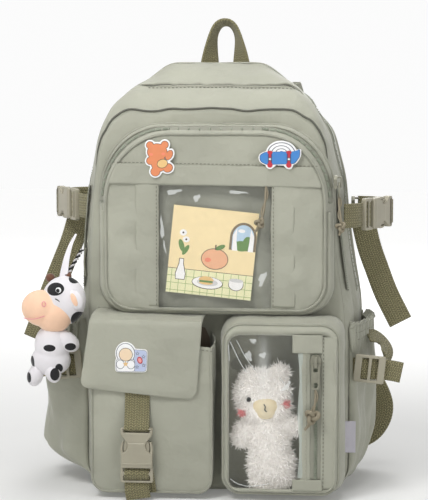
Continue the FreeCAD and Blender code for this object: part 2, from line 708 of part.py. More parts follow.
def make_shoulder_straps():
    webbing = []
    for side in (-1, 1):
        name = "right" if side > 0 else "left"
        path = [("69.5", "404"), ("84", "399"), ("94", "384"), ("98", "350"), ("97", "290"),
                ("90", "232"), ("86", "206")]
        strap = band(f"shoulder_strap_{name}", "side", path, "strap_thick / 2", "strap_width",
                     (-number("strap_width") / 2, 0, 0))
        pivot = Vector(0, 0, number("strap_pivot"))
        fan = FreeCAD.Rotation(Vector(0, 1, 0), -side * number("strap_fan"))
        shift = FreeCAD.Placement(Vector(side * number("strap_middle_x"), 0, 0), FreeCAD.Rotation())
        about = FreeCAD.Placement(Vector(0, 0, 0), fan, pivot)
        finished(moved(strap, shift.multiply(about)), f"shoulder_strap_{name}")
        lock = ladder_frame(f"ladder_lock_{name}", 17, 12, 3, 13, 9)
        seat = Vector(side * number("lock_out"), number("lock_depth"), number("lock_height"))
        finished(moved(lock, FreeCAD.Placement(seat, fan)), f"ladder_lock_{name}")
        route = [(f"{side} * 101", "166"), (f"{side} * 124", "130"), (f"{side} * 152", "98"),
                 (f"{side} * 167", "62"), (f"{side} * 138", "28")]
        webbing.append(band("webbing", "front", route, "webbing_width / 2", "webbing_thick",
                            (0, 74, 0)))
        tab = box("tab", f"{side} * 126 - 14", f"{side} * 126 + 14", "back_face", "back_face + 8",
                  "12", "34")
        webbing.append(tab)
    finished(fused("strap_webbing", webbing), "strap_webbing")


# ---------------------------------------------------------------- sliders, pulls and charms

def slider(label, x, y, z, turn):
    """Zip slider: a wedge body with a bridge loop on its face, nose up."""
    body = front_plate("slider_body", "0", "-3.6", [
        (polygon, [[("-4.6", "0"), ("4.6", "0"), ("5.6", "9"), ("3", "13"), ("-3", "13"),
                    ("-5.6", "9")]])])
    bridge = front_plate("slider_bridge", "-3.6", "-6.6", [
        (polygon, [[("-1.2", "1"), ("1.2", "1"), ("1.2", "3"), ("-1.2", "3")]])])
    roof = front_plate("slider_roof", "-6.6", "-7.8", [
        (polygon, [[("-1.6", "1"), ("1.6", "1"), ("1.6", "12"), ("-1.6", "12")]])])
    crown = front_plate("slider_crown", "-3.6", "-6.6", [
        (polygon, [[("-1.2", "10"), ("1.2", "10"), ("1.2", "12"), ("-1.2", "12")]])])
    return finished(placed(fused(label, [body, bridge, roof, crown]), x, y, z, turn), label)


def cord_tube(label, points):
    """Tube of straight runs joined by tangent arcs, each arc as large as its two runs allow."""
    corners = [Vector(*point) for point in points]
    edges = []
    start = corners[0]
    radii = []
    for index in range(1, len(corners) - 1):
        before = corners[index] - corners[index - 1]
        after = corners[index + 1] - corners[index]
        turn = before.getAngle(after)
        reach = 0.45 * min(before.Length, after.Length)
        radius = reach / math.tan(turn / 2)
        radii.append(round(radius, 1))
        entry = corners[index] - before * (reach / before.Length)
        leave = corners[index] + after * (reach / after.Length)
        towards = (entry + leave) * 0.5 - corners[index]
        sagitta = radius / math.cos(turn / 2) - radius
        middle = corners[index] + towards * (sagitta / towards.Length)
        edges.append(Part.LineSegment(start, entry).toShape())
        edges.append(Part.Arc(entry, middle, leave).toShape())
        start = leave
    edges.append(Part.LineSegment(start, corners[-1]).toShape())
    path = Part.Wire(edges)
    half = number("cord_diameter") / 2
    ring = Part.Wire([Part.Circle(corners[0], corners[1] - corners[0], half).toShape()])
    shape = path.makePipeShell([ring], True, False)
    feature = helper("Part::Feature", label)
    feature.Shape = shape
    feature.Placement = FreeCAD.Placement()
    expected = math.pi * half ** 2 * path.Length
    tube_report.append((label, radii, path.Length, shape.Volume, expected))
    return finished(feature, label)


UPPER_PULL_ROUTE = [
    (121.7, -74, 300.8), (121.7, -74.2, 291), (123.6, -76.5, 281), (124.6, -77, 271),
    (122.4, -77, 262),
]
WINDOW_PULL_ROUTE = [
    (101, -109.4, 113.15), (101, -109.4, 105), (100.2, -110.2, 96), (98.2, -110.2, 87),
    (94.8, -110, 79.4), (90.6, -109.8, 73),
]
HEADER_PULL_ROUTE = [
    (50.5, -85.5, 310.4), (50, -86.4, 299), (48.8, -86.8, 287), (45.4, -86.8, 275.4),
    (39.6, -86.6, 265),
]


def make_pulls():
    slider("upper_zip_slider", number("upper_half") + 1.6, -74, 308, 90)
    ring = helper("Part::Torus", "upper_ring")
    bind(ring, "Radius1", "5.4")
    bind(ring, "Radius2", "1.1")
    ring.Placement = FreeCAD.Placement(Vector(121.7, -74, 307.4), FreeCAD.Rotation(Vector(0, 1, 0), 90))
    finished(ring, "upper_zip_ring")
    cord_tube("upper_pull_cord", UPPER_PULL_ROUTE)
    zip_middle = number("window_zip_near + window_zip_far") / 2
    slider("window_zip_slider", zip_middle, number("pocket_front") - 0.3, 134, 0)
    tab = front_plate("window_zip_tab", "1", "-1", [
        (rounded_rectangle, ["-4.2", "4.2", "-26", "0", "3"]),
        (rounded_rectangle, ["-2", "2", "-24", "-19", "1.5"]),
        (rounded_rectangle, ["-2.2", "2.2", "-8.4", "-1.4", "1.2"])])
    finished(placed(tab, zip_middle, number("pocket_front") - 5.4, 139.2), "window_zip_tab")
    cord_tube("window_pull_cord", WINDOW_PULL_ROUTE)
    cord_tube("header_pull_cord", HEADER_PULL_ROUTE)
    slider("second_zip_slider", -128.2, -48.5, 242, -90)
    slider("main_zip_slider", 132.6, -1, 282, 90)


def make_charm():
    links = []
    start = Vector(-137.2, -51, 244)
    end = Vector(-150, -74, 220)
    count = 6
    step = (end - start) * (1.0 / count)
    for index in range(count):
        link = helper("Part::Torus", "link")
        bind(link, "Radius1", "2.6")
        bind(link, "Radius2", "0.6")
        spot = start + step * (index + 0.5)
        tilt = FreeCAD.Rotation(Vector(1, 0, 0), 90 * (index % 2))
        link.Placement = FreeCAD.Placement(spot, tilt)
        links.append(link)
    finished(grouped("charm_chain", links), "charm_chain")


def make_badges():
    face = number("front_face - upper_depth") - 3.2
    for label, x, y, z, half_x, half_z in (
            ("badge_bear", -55, face, 337, 14, 17),
            ("badge_board", 64, face, 340, 20, 12),
            ("badge_cloud", -80, number("pocket_front") - 0.4 - number("flap_thick"), 142, 15, 15)):
        plate = front_plate(label, "-badge_gap", "-badge_gap - badge_thick", [
            (rounded_rectangle, [str(-half_x), str(half_x), str(-half_z), str(half_z),
                                 "badge_corner"])])
        placed(plate, x, y, z)
        finished(plate, label)
    tag = box("side_tag", "127.6", "139.6", "front_face - 4", "front_face - 2.4", "42", "74")
    finished(tag, "side_tag")


make_shell()
make_upper_pocket()
make_flap_pocket()
make_flap_buckle()
make_window_pocket()
for label, lobes in (("toy_head", LAMB_HEAD), ("toy_body", LAMB_BODY), ("cow_head", COW_HEAD),
                     ("cow_body", COW_BODY)):
    stuffed(label, lobes)
for side in (-1, 1):
    make_side_pocket(side)
make_side_straps()
make_pocket_straps()
make_handle()
make_shoulder_straps()
make_pulls()
make_charm()
make_badges()

doc.recompute()
broken = [thing.Name for thing in doc.Objects if "Invalid" in thing.State or "Error" in thing.State]
for thing in parts:
    if thing.Shape.isNull() or not thing.Shape.isValid() or not thing.Shape.Solids:
        broken.append(thing.Label)
if broken:
    raise RuntimeError("failed objects: " + ", ".join(broken))

os.makedirs("parts", exist_ok=True)
for thing in parts:
    thing.Shape.exportStep(os.path.join("parts", thing.Label + ".step"))
for label, radii, length, volume, expected in tube_report:
    print(label, "radii", radii, "length", round(length, 1), "volume ratio", round(volume / expected, 4))
print(len(parts), "parts")
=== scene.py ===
"""School backpack in sage cloth: two front pockets, a windowed upper pocket, straps and charms.

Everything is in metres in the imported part's frame: +X to the right as seen from the front, -Y
towards the viewer, +Z up, with the floor at height 0.
"""

import json
import math

import bpy
import numpy as np
from mathutils import Matrix, Vector


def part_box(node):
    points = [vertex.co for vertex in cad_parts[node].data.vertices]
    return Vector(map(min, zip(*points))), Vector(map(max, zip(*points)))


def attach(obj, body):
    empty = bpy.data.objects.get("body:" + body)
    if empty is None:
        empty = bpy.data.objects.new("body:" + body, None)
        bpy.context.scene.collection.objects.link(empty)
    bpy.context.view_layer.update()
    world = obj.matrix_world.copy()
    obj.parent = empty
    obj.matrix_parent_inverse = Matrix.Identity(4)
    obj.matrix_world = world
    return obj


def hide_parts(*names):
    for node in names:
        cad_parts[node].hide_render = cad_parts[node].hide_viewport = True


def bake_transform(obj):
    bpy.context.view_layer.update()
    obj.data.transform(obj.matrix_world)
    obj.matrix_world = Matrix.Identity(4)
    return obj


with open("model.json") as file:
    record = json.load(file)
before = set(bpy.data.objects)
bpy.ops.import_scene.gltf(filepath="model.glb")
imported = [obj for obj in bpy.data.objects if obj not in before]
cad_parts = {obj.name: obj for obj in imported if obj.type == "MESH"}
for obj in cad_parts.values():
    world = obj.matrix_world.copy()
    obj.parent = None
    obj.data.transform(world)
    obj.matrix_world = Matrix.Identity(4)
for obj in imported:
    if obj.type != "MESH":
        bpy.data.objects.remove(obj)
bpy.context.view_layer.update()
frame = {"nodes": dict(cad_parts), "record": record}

MM = 0.001
TAU = 2 * math.pi
COLUMNS = 320  # points round the bag's outline
SIDES = ((-1, "left"), (1, "right"))


# ---------------------------------------------------------------- numbers and arrays

def array(values):
    return np.array(values, float)


def unit(vectors):
    vectors = array(vectors)
    length = np.linalg.norm(vectors, axis=-1, keepdims=True)
    return vectors / np.maximum(length, 1e-9)


def smooth(t):
    """0 to 1 with level ends."""
    t = np.clip(t, 0, 1)
    return t * t * (3 - 2 * t)


def folds(points, wavelength, seed, octaves=3, stretch=(1, 1, 1)):
    """Smooth random field of about -1 to 1 over points; stretch lengthens its waves along an axis."""
    rng = np.random.default_rng(seed)
    flat = array(points).reshape(-1, 3) / array(stretch)
    total = np.zeros(len(flat))
    for octave in range(octaves):
        heading = unit(rng.normal(size=(7, 3)))
        phase = rng.uniform(0, TAU, 7)
        turns = TAU / (wavelength * 0.55 ** octave)
        total += 0.5 ** octave * np.sin(flat @ heading.T * turns + phase).mean(axis=1) * 1.7
    return total.reshape(array(points).shape[:-1])


def resampled(path, count, closed=False):
    """The same line with evenly spaced points."""
    path = array(path)
    if closed:
        path = np.vstack([path, path[:1]])
    steps = np.linalg.norm(np.diff(path, axis=0), axis=1)
    along = np.concatenate([[0], np.cumsum(steps)])
    wanted = np.linspace(0, along[-1], count, endpoint=not closed)
    return np.stack([np.interp(wanted, along, path[:, k]) for k in range(path.shape[1])], axis=1)


def curve_through(points, count=60):
    """Smooth line that passes through points (Catmull-Rom)."""
    points = array(points)
    padded = np.vstack([2 * points[0] - points[1], points, 2 * points[-1] - points[-2]])
    pieces = []
    for k in range(len(padded) - 3):
        a, b, c, d = padded[k:k + 4]
        t = np.linspace(0, 1, 16, endpoint=False)[:, None]
        pieces.append(0.5 * (2 * b + (c - a) * t + (2 * a - 5 * b + 4 * c - d) * t ** 2
                             + (3 * b - a - 3 * c + d) * t ** 3))
    return resampled(np.vstack(pieces + [points[-1:]]), count)


def path_length(path):
    return float(np.linalg.norm(np.diff(array(path), axis=0), axis=1).sum())


def tangents(path, closed=False):
    if closed:
        return unit(np.roll(path, -1, axis=0) - np.roll(path, 1, axis=0))
    return unit(np.gradient(path, axis=0))


def rectangle_loop(left, right, low, high, foot_radius, head_radii=None, count=COLUMNS):
    """Rounded rectangle as (x, z) points, anticlockwise from the middle of its foot."""
    head_x, head_z = head_radii or (foot_radius, foot_radius)
    corners = [
        (right - foot_radius, low + foot_radius, foot_radius, foot_radius, -90),
        (right - head_x, high - head_z, head_x, head_z, 0),
        (left + head_x, high - head_z, head_x, head_z, 90),
        (left + foot_radius, low + foot_radius, foot_radius, foot_radius, 180),
    ]
    points = [((left + right) / 2, low)]
    for x, z, reach_x, reach_z, start in corners:
        for angle in np.radians(np.linspace(start, start + 90, 14)):
            points.append((x + reach_x * math.cos(angle), z + reach_z * math.sin(angle)))
    return resampled(points, count, closed=True)


def outline_of(node, depth):
    """Outer (x, z) outline of a CAD node at one depth, softened at its corners."""
    mesh = frame["nodes"][node].data
    points = array([v.co for v in mesh.vertices])
    near = points[np.abs(points[:, 1] - depth) < 0.4 * MM][:, [0, 2]]
    hull = []
    for way in (1, -1):
        order = near[np.lexsort((near[:, 1], near[:, 0]))][::way]
        chain = []
        for point in order:
            while len(chain) > 1:
                back = chain[-1] - chain[-2]
                ahead = point - chain[-2]
                if back[0] * ahead[1] - back[1] * ahead[0] > 1e-12:
                    break
                chain.pop()
            chain.append(point)
        hull.extend(chain[:-1])
    loop = resampled(array(hull), COLUMNS, closed=True)
    for _ in range(5):
        loop = (np.roll(loop, 1, axis=0) + 2 * loop + np.roll(loop, -1, axis=0)) / 4
    foot = np.argmin(np.abs(loop[:, 0]) + 10 * (loop[:, 1] > loop[:, 1].mean()))
    return resampled(np.roll(loop, -foot, axis=0), COLUMNS, closed=True)


def at_depth(loop, y):
    """(x, z) points as 3-D points at depth y."""
    return np.stack([loop[:, 0], np.full(len(loop), float(y)), loop[:, 1]], axis=1)


def outwards(loop):
    """Unit normals of a closed anticlockwise (x, z) loop."""
    way = tangents(loop, closed=True)
    return np.stack([way[:, 1], -way[:, 0]], axis=1)


def grow_loop(loop, amount):
    amount = np.asarray(amount, float)
    if amount.ndim:
        amount = amount[:, None]
    return loop + outwards(loop) * amount


# ---------------------------------------------------------------- meshes

def mesh_piece(name, verts, faces, material, shade_smooth=True, weave=None):
    mesh = bpy.data.meshes.new(name)
    mesh.from_pydata([tuple(v) for v in verts], [], [tuple(int(i) for i in f) for f in faces])
    mesh.validate()
    piece = bpy.data.objects.new(name, mesh)
    bpy.context.scene.collection.objects.link(piece)
    if material is not None:
        mesh.materials.append(material)
    mesh.polygons.foreach_set("use_smooth", [shade_smooth] * len(mesh.polygons))
    if weave is not None:
        attribute = mesh.attributes.new("weave", "FLOAT_VECTOR", "POINT")
        attribute.data.foreach_set("vector", array(weave).astype(np.float32).ravel())
    return piece


def grid_faces(rows, columns, closed_columns=False, closed_rows=False):
    faces = []
    last_row = rows if closed_rows else rows - 1
    last_column = columns if closed_columns else columns - 1
    for i in range(last_row):
        j = (i + 1) % rows
        for k in range(last_column):
            m = (k + 1) % columns
            faces.append((i * columns + k, i * columns + m, j * columns + m, j * columns + k))
    return faces


def grid_piece(name, rows, material, closed=False, thickness=0.0, inward=True):
    """Surface through rows of points; thickness makes it a thin shell."""
    rows = array(rows)
    piece = mesh_piece(name, rows.reshape(-1, 3), grid_faces(rows.shape[0], rows.shape[1], closed),
                       material)
    if thickness:
        shell = piece.modifiers.new("thickness", "SOLIDIFY")
        shell.thickness = thickness
        shell.offset = -1 if inward else 1
        shell.use_rim = True
    return piece


def smooth_shaded(mesh):
    mesh.polygons.foreach_set("use_smooth", [True] * len(mesh.polygons))


def swept(name, path, section, across, material, closed=False, weave=False, scale=None):
    """Section, as (across, out) pairs, carried along a path whose breadth points along across."""
    path = array(path)
    along = tangents(path, closed)
    across = unit(np.broadcast_to(array(across), path.shape))
    across = unit(across - along * (across * along).sum(axis=1, keepdims=True))
    out = np.cross(along, across)
    section = array(section)
    size = np.ones((len(path), 1, 1)) if scale is None else array(scale)[:, None, None]
    verts = (path[:, None] + size * (across[:, None] * section[None, :, :1]
                                     + out[:, None] * section[None, :, 1:2]))
    count = len(section)
    faces = grid_faces(len(path), count, closed_columns=True, closed_rows=closed)
    if not closed:
        faces.append(tuple(range(count))[::-1])
        last = (len(path) - 1) * count
        faces.append(tuple(range(last, last + count)))
    coordinates = None
    if weave:
        steps = np.concatenate([[0], np.cumsum(np.linalg.norm(np.diff(path, axis=0), axis=1))])
        coordinates = np.zeros(verts.shape)
        coordinates[..., 0] = section[None, :, 0]
        coordinates[..., 1] = steps[:, None]
        coordinates[..., 2] = section[None, :, 1]
        coordinates = coordinates.reshape(-1, 3)
    return mesh_piece(name, verts.reshape(-1, 3), faces, material, True, coordinates)


def flat_section(width, thickness):
    """Closed section of a band with round edges, as (across, out) pairs."""
    half = width / 2 - thickness / 2
    top = [(x, thickness / 2) for x in np.linspace(half, -half, 9)]
    bottom = [(-x, -thickness / 2) for x, _ in top]
    return top + [(-half - thickness * 0.4, 0)] + bottom + [(half + thickness * 0.4, 0)]


def round_section(radius, sides=10):
    angles = np.linspace(0, TAU, sides, endpoint=False)
    return np.stack([np.cos(angles), np.sin(angles)], axis=1) * radius


def ribbon(name, path, across, width, thickness, material):
    return swept(name, path, flat_section(width, thickness), across, material, weave=True)


def tube(name, path, radius, material, closed=False, sides=10, tapered=False):
    along = tangents(array(path), closed)
    side = np.cross(along, array([0.31, 0.87, 0.38]))
    scale = None
    if tapered:
        share = np.linspace(0, 1, len(path))
        scale = 0.15 + 0.85 * smooth(np.minimum(share, 1 - share) / 0.12)
    return swept(name, path, round_section(radius, sides), side, material, closed, scale=scale)


def joined(name, pieces):
    """One object from several; modifiers of each are applied first."""
    bpy.context.view_layer.update()
    graph = bpy.context.evaluated_depsgraph_get()
    for piece in pieces:
        if piece.modifiers:
            solid = bpy.data.meshes.new_from_object(piece.evaluated_get(graph))
            piece.modifiers.clear()
            piece.data = solid
    with bpy.context.temp_override(active_object=pieces[0], object=pieces[0],
                                   selected_editable_objects=pieces, selected_objects=pieces):
        bpy.ops.object.join()
    pieces[0].name = name
    pieces[0].data.name = name
    return pieces[0]


def on_body(piece, body, slot, *nodes):
    """Ride a piece on a body and hide the CAD nodes that it stands for; its slot, the finish, is not used.
    """
    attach(piece, body)
    if nodes:
        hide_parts(*nodes)
    return piece


def middle_of(node):
    low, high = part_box(node)
    return (array(low) + array(high)) / 2


def sewn(piece, *nodes):
    """A piece of the bag's own cloth, which stays with the bag."""
    return on_body(piece, "root", "shell_fabric", *nodes)


def webbing(name, points, across, width, thickness, body, *nodes, count=60):
    """Olive band along a smooth line through points; width and thickness are in millimetres."""
    band = ribbon(name, curve_through(points, count), across, width * MM, thickness * MM, olive_webbing)
    return on_body(band, body, "webbing", *nodes)


def mirrored(side, points):
    """Points of the right side of the bag, on the side asked for."""
    return [(side * x, y, z) for x, y, z in points]


def repeated(name, unit_verts, unit_faces, places, material):
    """Many copies of a small shape; places are (position, along, across, out) arrays."""
    unit_verts = array(unit_verts)
    verts = []
    faces = []
    for position, along, across, out in places:
        base = len(verts) * len(unit_verts)
        local = (array(position) + unit_verts[:, :1] * array(across) + unit_verts[:, 1:2] * array(along)
                 + unit_verts[:, 2:3] * array(out))
        verts.append(local)
        faces.extend([tuple(base + i for i in face) for face in unit_faces])
    return mesh_piece(name, np.vstack(verts), faces, material)


def capsule(length, radius, sides=6):
    """Small round-ended bar along Y: vertices and faces."""
    stations = [(-0.5, 0.35), (-0.36, 0.95), (0, 1.1), (0.36, 0.95), (0.5, 0.35)]
    verts = []
    for share, swell in stations:
        for angle in np.linspace(0, TAU, sides, endpoint=False):
            verts.append((radius * swell * math.cos(angle), length * share,
                          radius * swell * math.sin(angle)))
    faces = grid_faces(len(stations), sides, closed_columns=True)
    faces.append(tuple(range(sides))[::-1])
    last = (len(stations) - 1) * sides
    faces.append(tuple(range(last, last + sides)))
    return verts, faces


def frames_along(path, out, pitch):
    """Evenly spaced places on a path, each with its along, across and out directions."""
    path = array(path)
    out = np.broadcast_to(array(out), path.shape)
    count = max(2, int(path_length(path) / pitch))
    joint = resampled(np.hstack([path, out]), count)
    spots = joint[:, :3]
    along = tangents(spots)
    lifted = unit(joint[:, 3:])
    across = unit(np.cross(along, lifted))
    return [(spots[k], along[k], across[k], lifted[k]) for k in range(count)]


def stitches(name, path, out, material, radius=0.34 * MM):
    verts, faces = capsule(2.4 * MM, radius)
    lifted = array(path) + unit(np.broadcast_to(array(out), array(path).shape)) * radius * 0.5
    return repeated(name, verts, faces, frames_along(lifted, out, 3.8 * MM), material)


def zip_coil(name, path, out, material, width):
    """Nylon coil: a row of small bars across the path."""
    verts, faces = capsule(width, 0.62 * MM)
    places = [(spot, across, along, lifted) for spot, along, across, lifted
              in frames_along(path, out, 1.5 * MM)]
    return repeated(name, verts, faces, places, material)


# ---------------------------------------------------------------- materials

class Recipe:
    """A node material with a Principled shader and short ways to add and join nodes."""

    def __init__(self, name, color, roughness, **sockets):
        self.material = bpy.data.materials.new(name)
        self.material.use_nodes = True
        self.nodes = self.material.node_tree.nodes
        self.links = self.material.node_tree.links
        self.shader = self.nodes["Principled BSDF"]
        self.shader.inputs["Base Color"].default_value = (*color, 1)
        self.shader.inputs["Roughness"].default_value = roughness
        for socket, value in sockets.items():
            self.shader.inputs[socket.replace("_", " ")].default_value = value

    def add(self, kind, **settings):
        node = self.nodes.new(kind)
        for key, value in settings.items():
            setattr(node, key, value)
        return node

    def join(self, source, output, target, socket):
        self.links.new(source.outputs[output], target.inputs[socket])

    def position(self):
        return self.add("ShaderNodeTexCoord"), "Object"

    def noise(self, scale, detail=2.0, roughness=0.5, source=None):
        node = self.add("ShaderNodeTexNoise")
        node.inputs["Scale"].default_value = scale
        node.inputs["Detail"].default_value = detail
        node.inputs["Roughness"].default_value = roughness
        start, output = source or self.position()
        self.join(start, output, node, "Vector")
        return node

    def ramp(self, source, output, stops):
        node = self.add("ShaderNodeValToRGB")
        elements = node.color_ramp.elements
        while len(elements) < len(stops):
            elements.new(0.5)
        for element, (place, color) in zip(elements, stops):
            element.position = place
            element.color = (*color, 1)
        self.join(source, output, node, "Fac")
        return node

    def math(self, operation, first, second=None):
        node = self.add("ShaderNodeMath", operation=operation)
        for socket, value in enumerate((first, second)):
            if value is None:
                continue
            if isinstance(value, (int, float)):
                node.inputs[socket].default_value = value
            else:
                self.links.new(value, node.inputs[socket])
        return node.outputs[0]

    def bump(self, height, strength, distance):
        """Chain one more layer of bump under the shader's normal."""
        node = self.add("ShaderNodeBump")
        node.inputs["Strength"].default_value = strength
        node.inputs["Distance"].default_value = distance
        self.links.new(height, node.inputs["Height"])
        before = self.shader.inputs["Normal"].links
        if before:
            self.links.new(before[0].from_socket, node.inputs["Normal"])
        self.links.new(node.outputs["Normal"], self.shader.inputs["Normal"])
        return self

    def grain(self, scale, detail, roughness, strength, distance):
        """One layer of random bump."""
        cloud = self.noise(scale, detail, roughness)
        return self.bump(cloud.outputs["Fac"], strength, distance)

    def fade(self, source, output, shader, socket, near, far, start, end):
        """Bring a value from start at near to end at far, into a socket."""
        node = self.add("ShaderNodeMapRange")
        for name, value in zip(("From Min", "From Max", "To Min", "To Max"), (near, far, start, end)):
            node.inputs[name].default_value = value
        self.join(source, output, node, "Value")
        self.join(node, "Result", shader, socket)

    def tone(self, color, spread, scale):
        """Base colour that drifts a little round color."""
        low = [max(0.0, c * (1 - spread)) for c in color]
        high = [min(1.0, c * (1 + spread)) for c in color]
        cloud = self.noise(scale, 3.0)
        ramp = self.ramp(cloud, "Fac", [(0.3, low), (0.7, high)])
        self.join(ramp, "Color", self.shader, "Base Color")
        return self


def cloth(name, color, weave=0.42 * MM, strength=0.35, sheen=0.25):
    """Plain woven cloth: two crossing sets of threads with slubs and a soft sheen."""
    recipe = Recipe(name, color, 0.72, Sheen_Weight=sheen, Sheen_Roughness=0.45)
    recipe.tone(color, 0.07, 14)
    start, output = recipe.position()
    split = recipe.add("ShaderNodeSeparateXYZ")
    recipe.join(start, output, split, 0)
    turns = TAU / weave / 2
    warp = recipe.math("SINE", recipe.math("MULTIPLY", recipe.math(
        "ADD", split.outputs[0], split.outputs[1]), turns))
    weft = recipe.math("SINE", recipe.math("MULTIPLY", split.outputs[2], turns))
    threads = recipe.math("MULTIPLY", warp, weft)
    recipe.bump(threads, strength, 0.08 * MM)
    recipe.grain(900, 3, 0.6, 0.3, 0.25 * MM)
    recipe.grain(30, 3, 0.5, 0.6, 7 * MM)
    recipe.grain(12, 2, 0.4, 0.7, 22 * MM)
    return recipe.material


def webbing_cloth(name, color):
    """Herringbone webbing; the weave attribute holds metres across, along and out of the band."""
    recipe = Recipe(name, color, 0.8, Sheen_Weight=0.2, Sheen_Roughness=0.5)
    source = recipe.add("ShaderNodeAttribute", attribute_name="weave")
    split = recipe.add("ShaderNodeSeparateXYZ")
    recipe.join(source, "Vector", split, 0)
    shift = recipe.math("PINGPONG", split.outputs[0], 2.6 * MM)
    slant = recipe.math("ADD", recipe.math("MULTIPLY", shift, 0.8), split.outputs[1])
    ribs = recipe.math("SINE", recipe.math("MULTIPLY", slant, TAU / (2.5 * MM)))
    columns = recipe.math("ABSOLUTE", recipe.math("SINE", recipe.math(
        "MULTIPLY", split.outputs[0], math.pi / (2.6 * MM))))
    height = recipe.math("MULTIPLY", recipe.math("ADD", ribs, 1.2), recipe.math("ADD", columns, 0.35))
    recipe.bump(height, 0.75, 0.5 * MM)
    recipe.grain(1500, 2, 0.6, 0.3, 0.2 * MM)
    # painted shade and light: the base colour follows the weave's height, darker in its grooves and lighter
    # on its ribs
    dark = [c * 0.5 for c in color]
    light = [min(1, c * 1.5) for c in color]
    share = recipe.math("MULTIPLY", recipe.math("ADD", height, 0.2), 0.36)
    ramp = recipe.add("ShaderNodeValToRGB")
    ramp.color_ramp.elements[0].color = (*dark, 1)
    ramp.color_ramp.elements[1].color = (*light, 1)
    recipe.links.new(share, ramp.inputs["Fac"])
    recipe.join(ramp, "Color", recipe.shader, "Base Color")
    return recipe.material


def moulded(name, color, roughness=0.42):
    """Moulded plastic: faint grain, slight mottling."""
    recipe = Recipe(name, color, roughness)
    recipe.tone(color, 0.05, 60)
    recipe.grain(2600, 2, 0.5, 0.12, 0.1 * MM)
    return recipe.material


def enamel(name, color, roughness=0.35, metallic=0.0):
    recipe = Recipe(name, color, roughness, Metallic=metallic)
    recipe.tone(color, 0.12, 220)
    recipe.grain(700, 3, 0.6, 0.1, 0.1 * MM)
    return recipe.material


def fleece(name, color, spread=0.08):
    """White pile that glows faintly: painted light standing in for the light that its fibres pass on to
    each other.
    """
    recipe = Recipe(name, color, 0.95, Sheen_Weight=0.6, Sheen_Roughness=0.6)
    # painted light: faint emission so that the pile looks lit where its fibres shade each other
    recipe.shader.inputs["Emission Color"].default_value = (1.0, 0.96, 0.92, 1)
    recipe.shader.inputs["Emission Strength"].default_value = 0.07
    recipe.tone(color, spread, 90)
    recipe.grain(420, 4, 0.7, 0.6, 0.8 * MM)
    return recipe.material


def plush(name, color):
    recipe = Recipe(name, color, 0.9, Sheen_Weight=0.7, Sheen_Roughness=0.4)
    recipe.tone(color, 0.05, 70)
    recipe.grain(1500, 3, 0.7, 0.45, 0.35 * MM)
    recipe.grain(120, 3, 0.6, 0.25, 0.8 * MM)
    return recipe.material


def printed(name, color, roughness=0.5):
    """Printed paper or acrylic: even ink with the paper's fine tooth."""
    recipe = Recipe(name, color, roughness)
    recipe.tone(color, 0.03, 160)
    recipe.grain(3200, 2, 0.5, 0.08, 0.06 * MM)
    return recipe.material


def clear_vinyl(name):
    """Thin clear sheet: mostly seen through, with soft white streaks of higher alpha painted on as crease
    highlights.
    """
    recipe = Recipe(name, (0.93, 0.95, 0.93), 0.12, IOR=1.5)
    recipe.shader.inputs["Coat Weight"].default_value = 0.6
    recipe.shader.inputs["Coat Roughness"].default_value = 0.05
    start, output = recipe.position()
    stretch = recipe.add("ShaderNodeMapping")
    stretch.inputs["Rotation"].default_value = (0, math.radians(28), 0)
    stretch.inputs["Scale"].default_value = (26, 1, 7)
    recipe.join(start, output, stretch, "Vector")
    # painted highlights: streaks where the white sheet is made less clear
    highlight_streak_noise = recipe.noise(1.0, 3, 0.5, (stretch, "Vector"))
    painted_highlight_alpha = recipe.ramp(highlight_streak_noise, "Fac", [(0.62, (0.04, 0.04, 0.04)), (0.68, (0.10, 0.10, 0.10)),
                                        (0.76, (0.26, 0.26, 0.26))])
    recipe.join(painted_highlight_alpha, "Color", recipe.shader, "Alpha")
    recipe.grain(22, 3, 0.5, 0.5, 3 * MM)
    recipe.material.blend_method = "BLEND"
    return recipe.material


def film(name, color, alpha):
    recipe = Recipe(name, color, 0.25, Alpha=alpha)
    recipe.grain(500, 2, 0.5, 0.2, 0.1 * MM)
    return recipe.material


SAGE = (0.372, 0.374, 0.303)
SAGE_DARK = (0.285, 0.29, 0.235)
OLIVE = (0.225, 0.205, 0.105)
TAUPE = (0.36, 0.335, 0.255)

sage_cloth = cloth("sage_cloth", SAGE)
sage_edge = cloth("sage_edge", [c * 0.86 for c in SAGE], strength=0.25)
inner_cloth = cloth("inner_cloth", SAGE_DARK, sheen=0.1)
lining_cloth = cloth("lining_cloth", (0.2, 0.16, 0.12), sheen=0.05)
mesh_cloth = cloth("mesh_cloth", [c * 0.8 for c in SAGE], weave=1.6 * MM, strength=0.9)
tape_cloth = cloth("tape_cloth", [c * 0.72 for c in SAGE], weave=0.8 * MM)
thread = cloth("thread", [c * 0.45 for c in SAGE], strength=0.1, sheen=0.0)
seam_shadow = cloth("seam_shadow", [c * 0.30 for c in SAGE], strength=0.1, sheen=0.0)
pale_thread = cloth("pale_thread", [min(1, c * 1.2) for c in SAGE], strength=0.1, sheen=0.0)
olive_webbing = webbing_cloth("olive_webbing", OLIVE)
taupe_plastic = moulded("taupe_plastic", TAUPE)
coil_nylon = moulded("coil_nylon", (0.25, 0.275, 0.21), 0.38)
slider_metal = enamel("slider_metal", (0.25, 0.245, 0.19), 0.34, 0.35)
vinyl = clear_vinyl("vinyl")
cord_plain = printed("cord_plain", (0.27, 0.235, 0.165), 0.75)
glint_film = film("glint_film", (0.88, 0.90, 0.88), 0.5)
strip_film = film("strip_film", (0.62, 0.68, 0.62), 0.55)
tag_cloth = cloth("tag_cloth", (0.56, 0.54, 0.60), weave=0.5 * MM)
card_cream = printed("card_cream", (0.86, 0.70, 0.40))
card_cloth = printed("card_cloth", (0.80, 0.78, 0.48))
card_sky = printed("card_sky", (0.46, 0.60, 0.72))
card_white = printed("card_white", (0.88, 0.86, 0.84))
card_grey = printed("card_grey", (0.62, 0.61, 0.60))
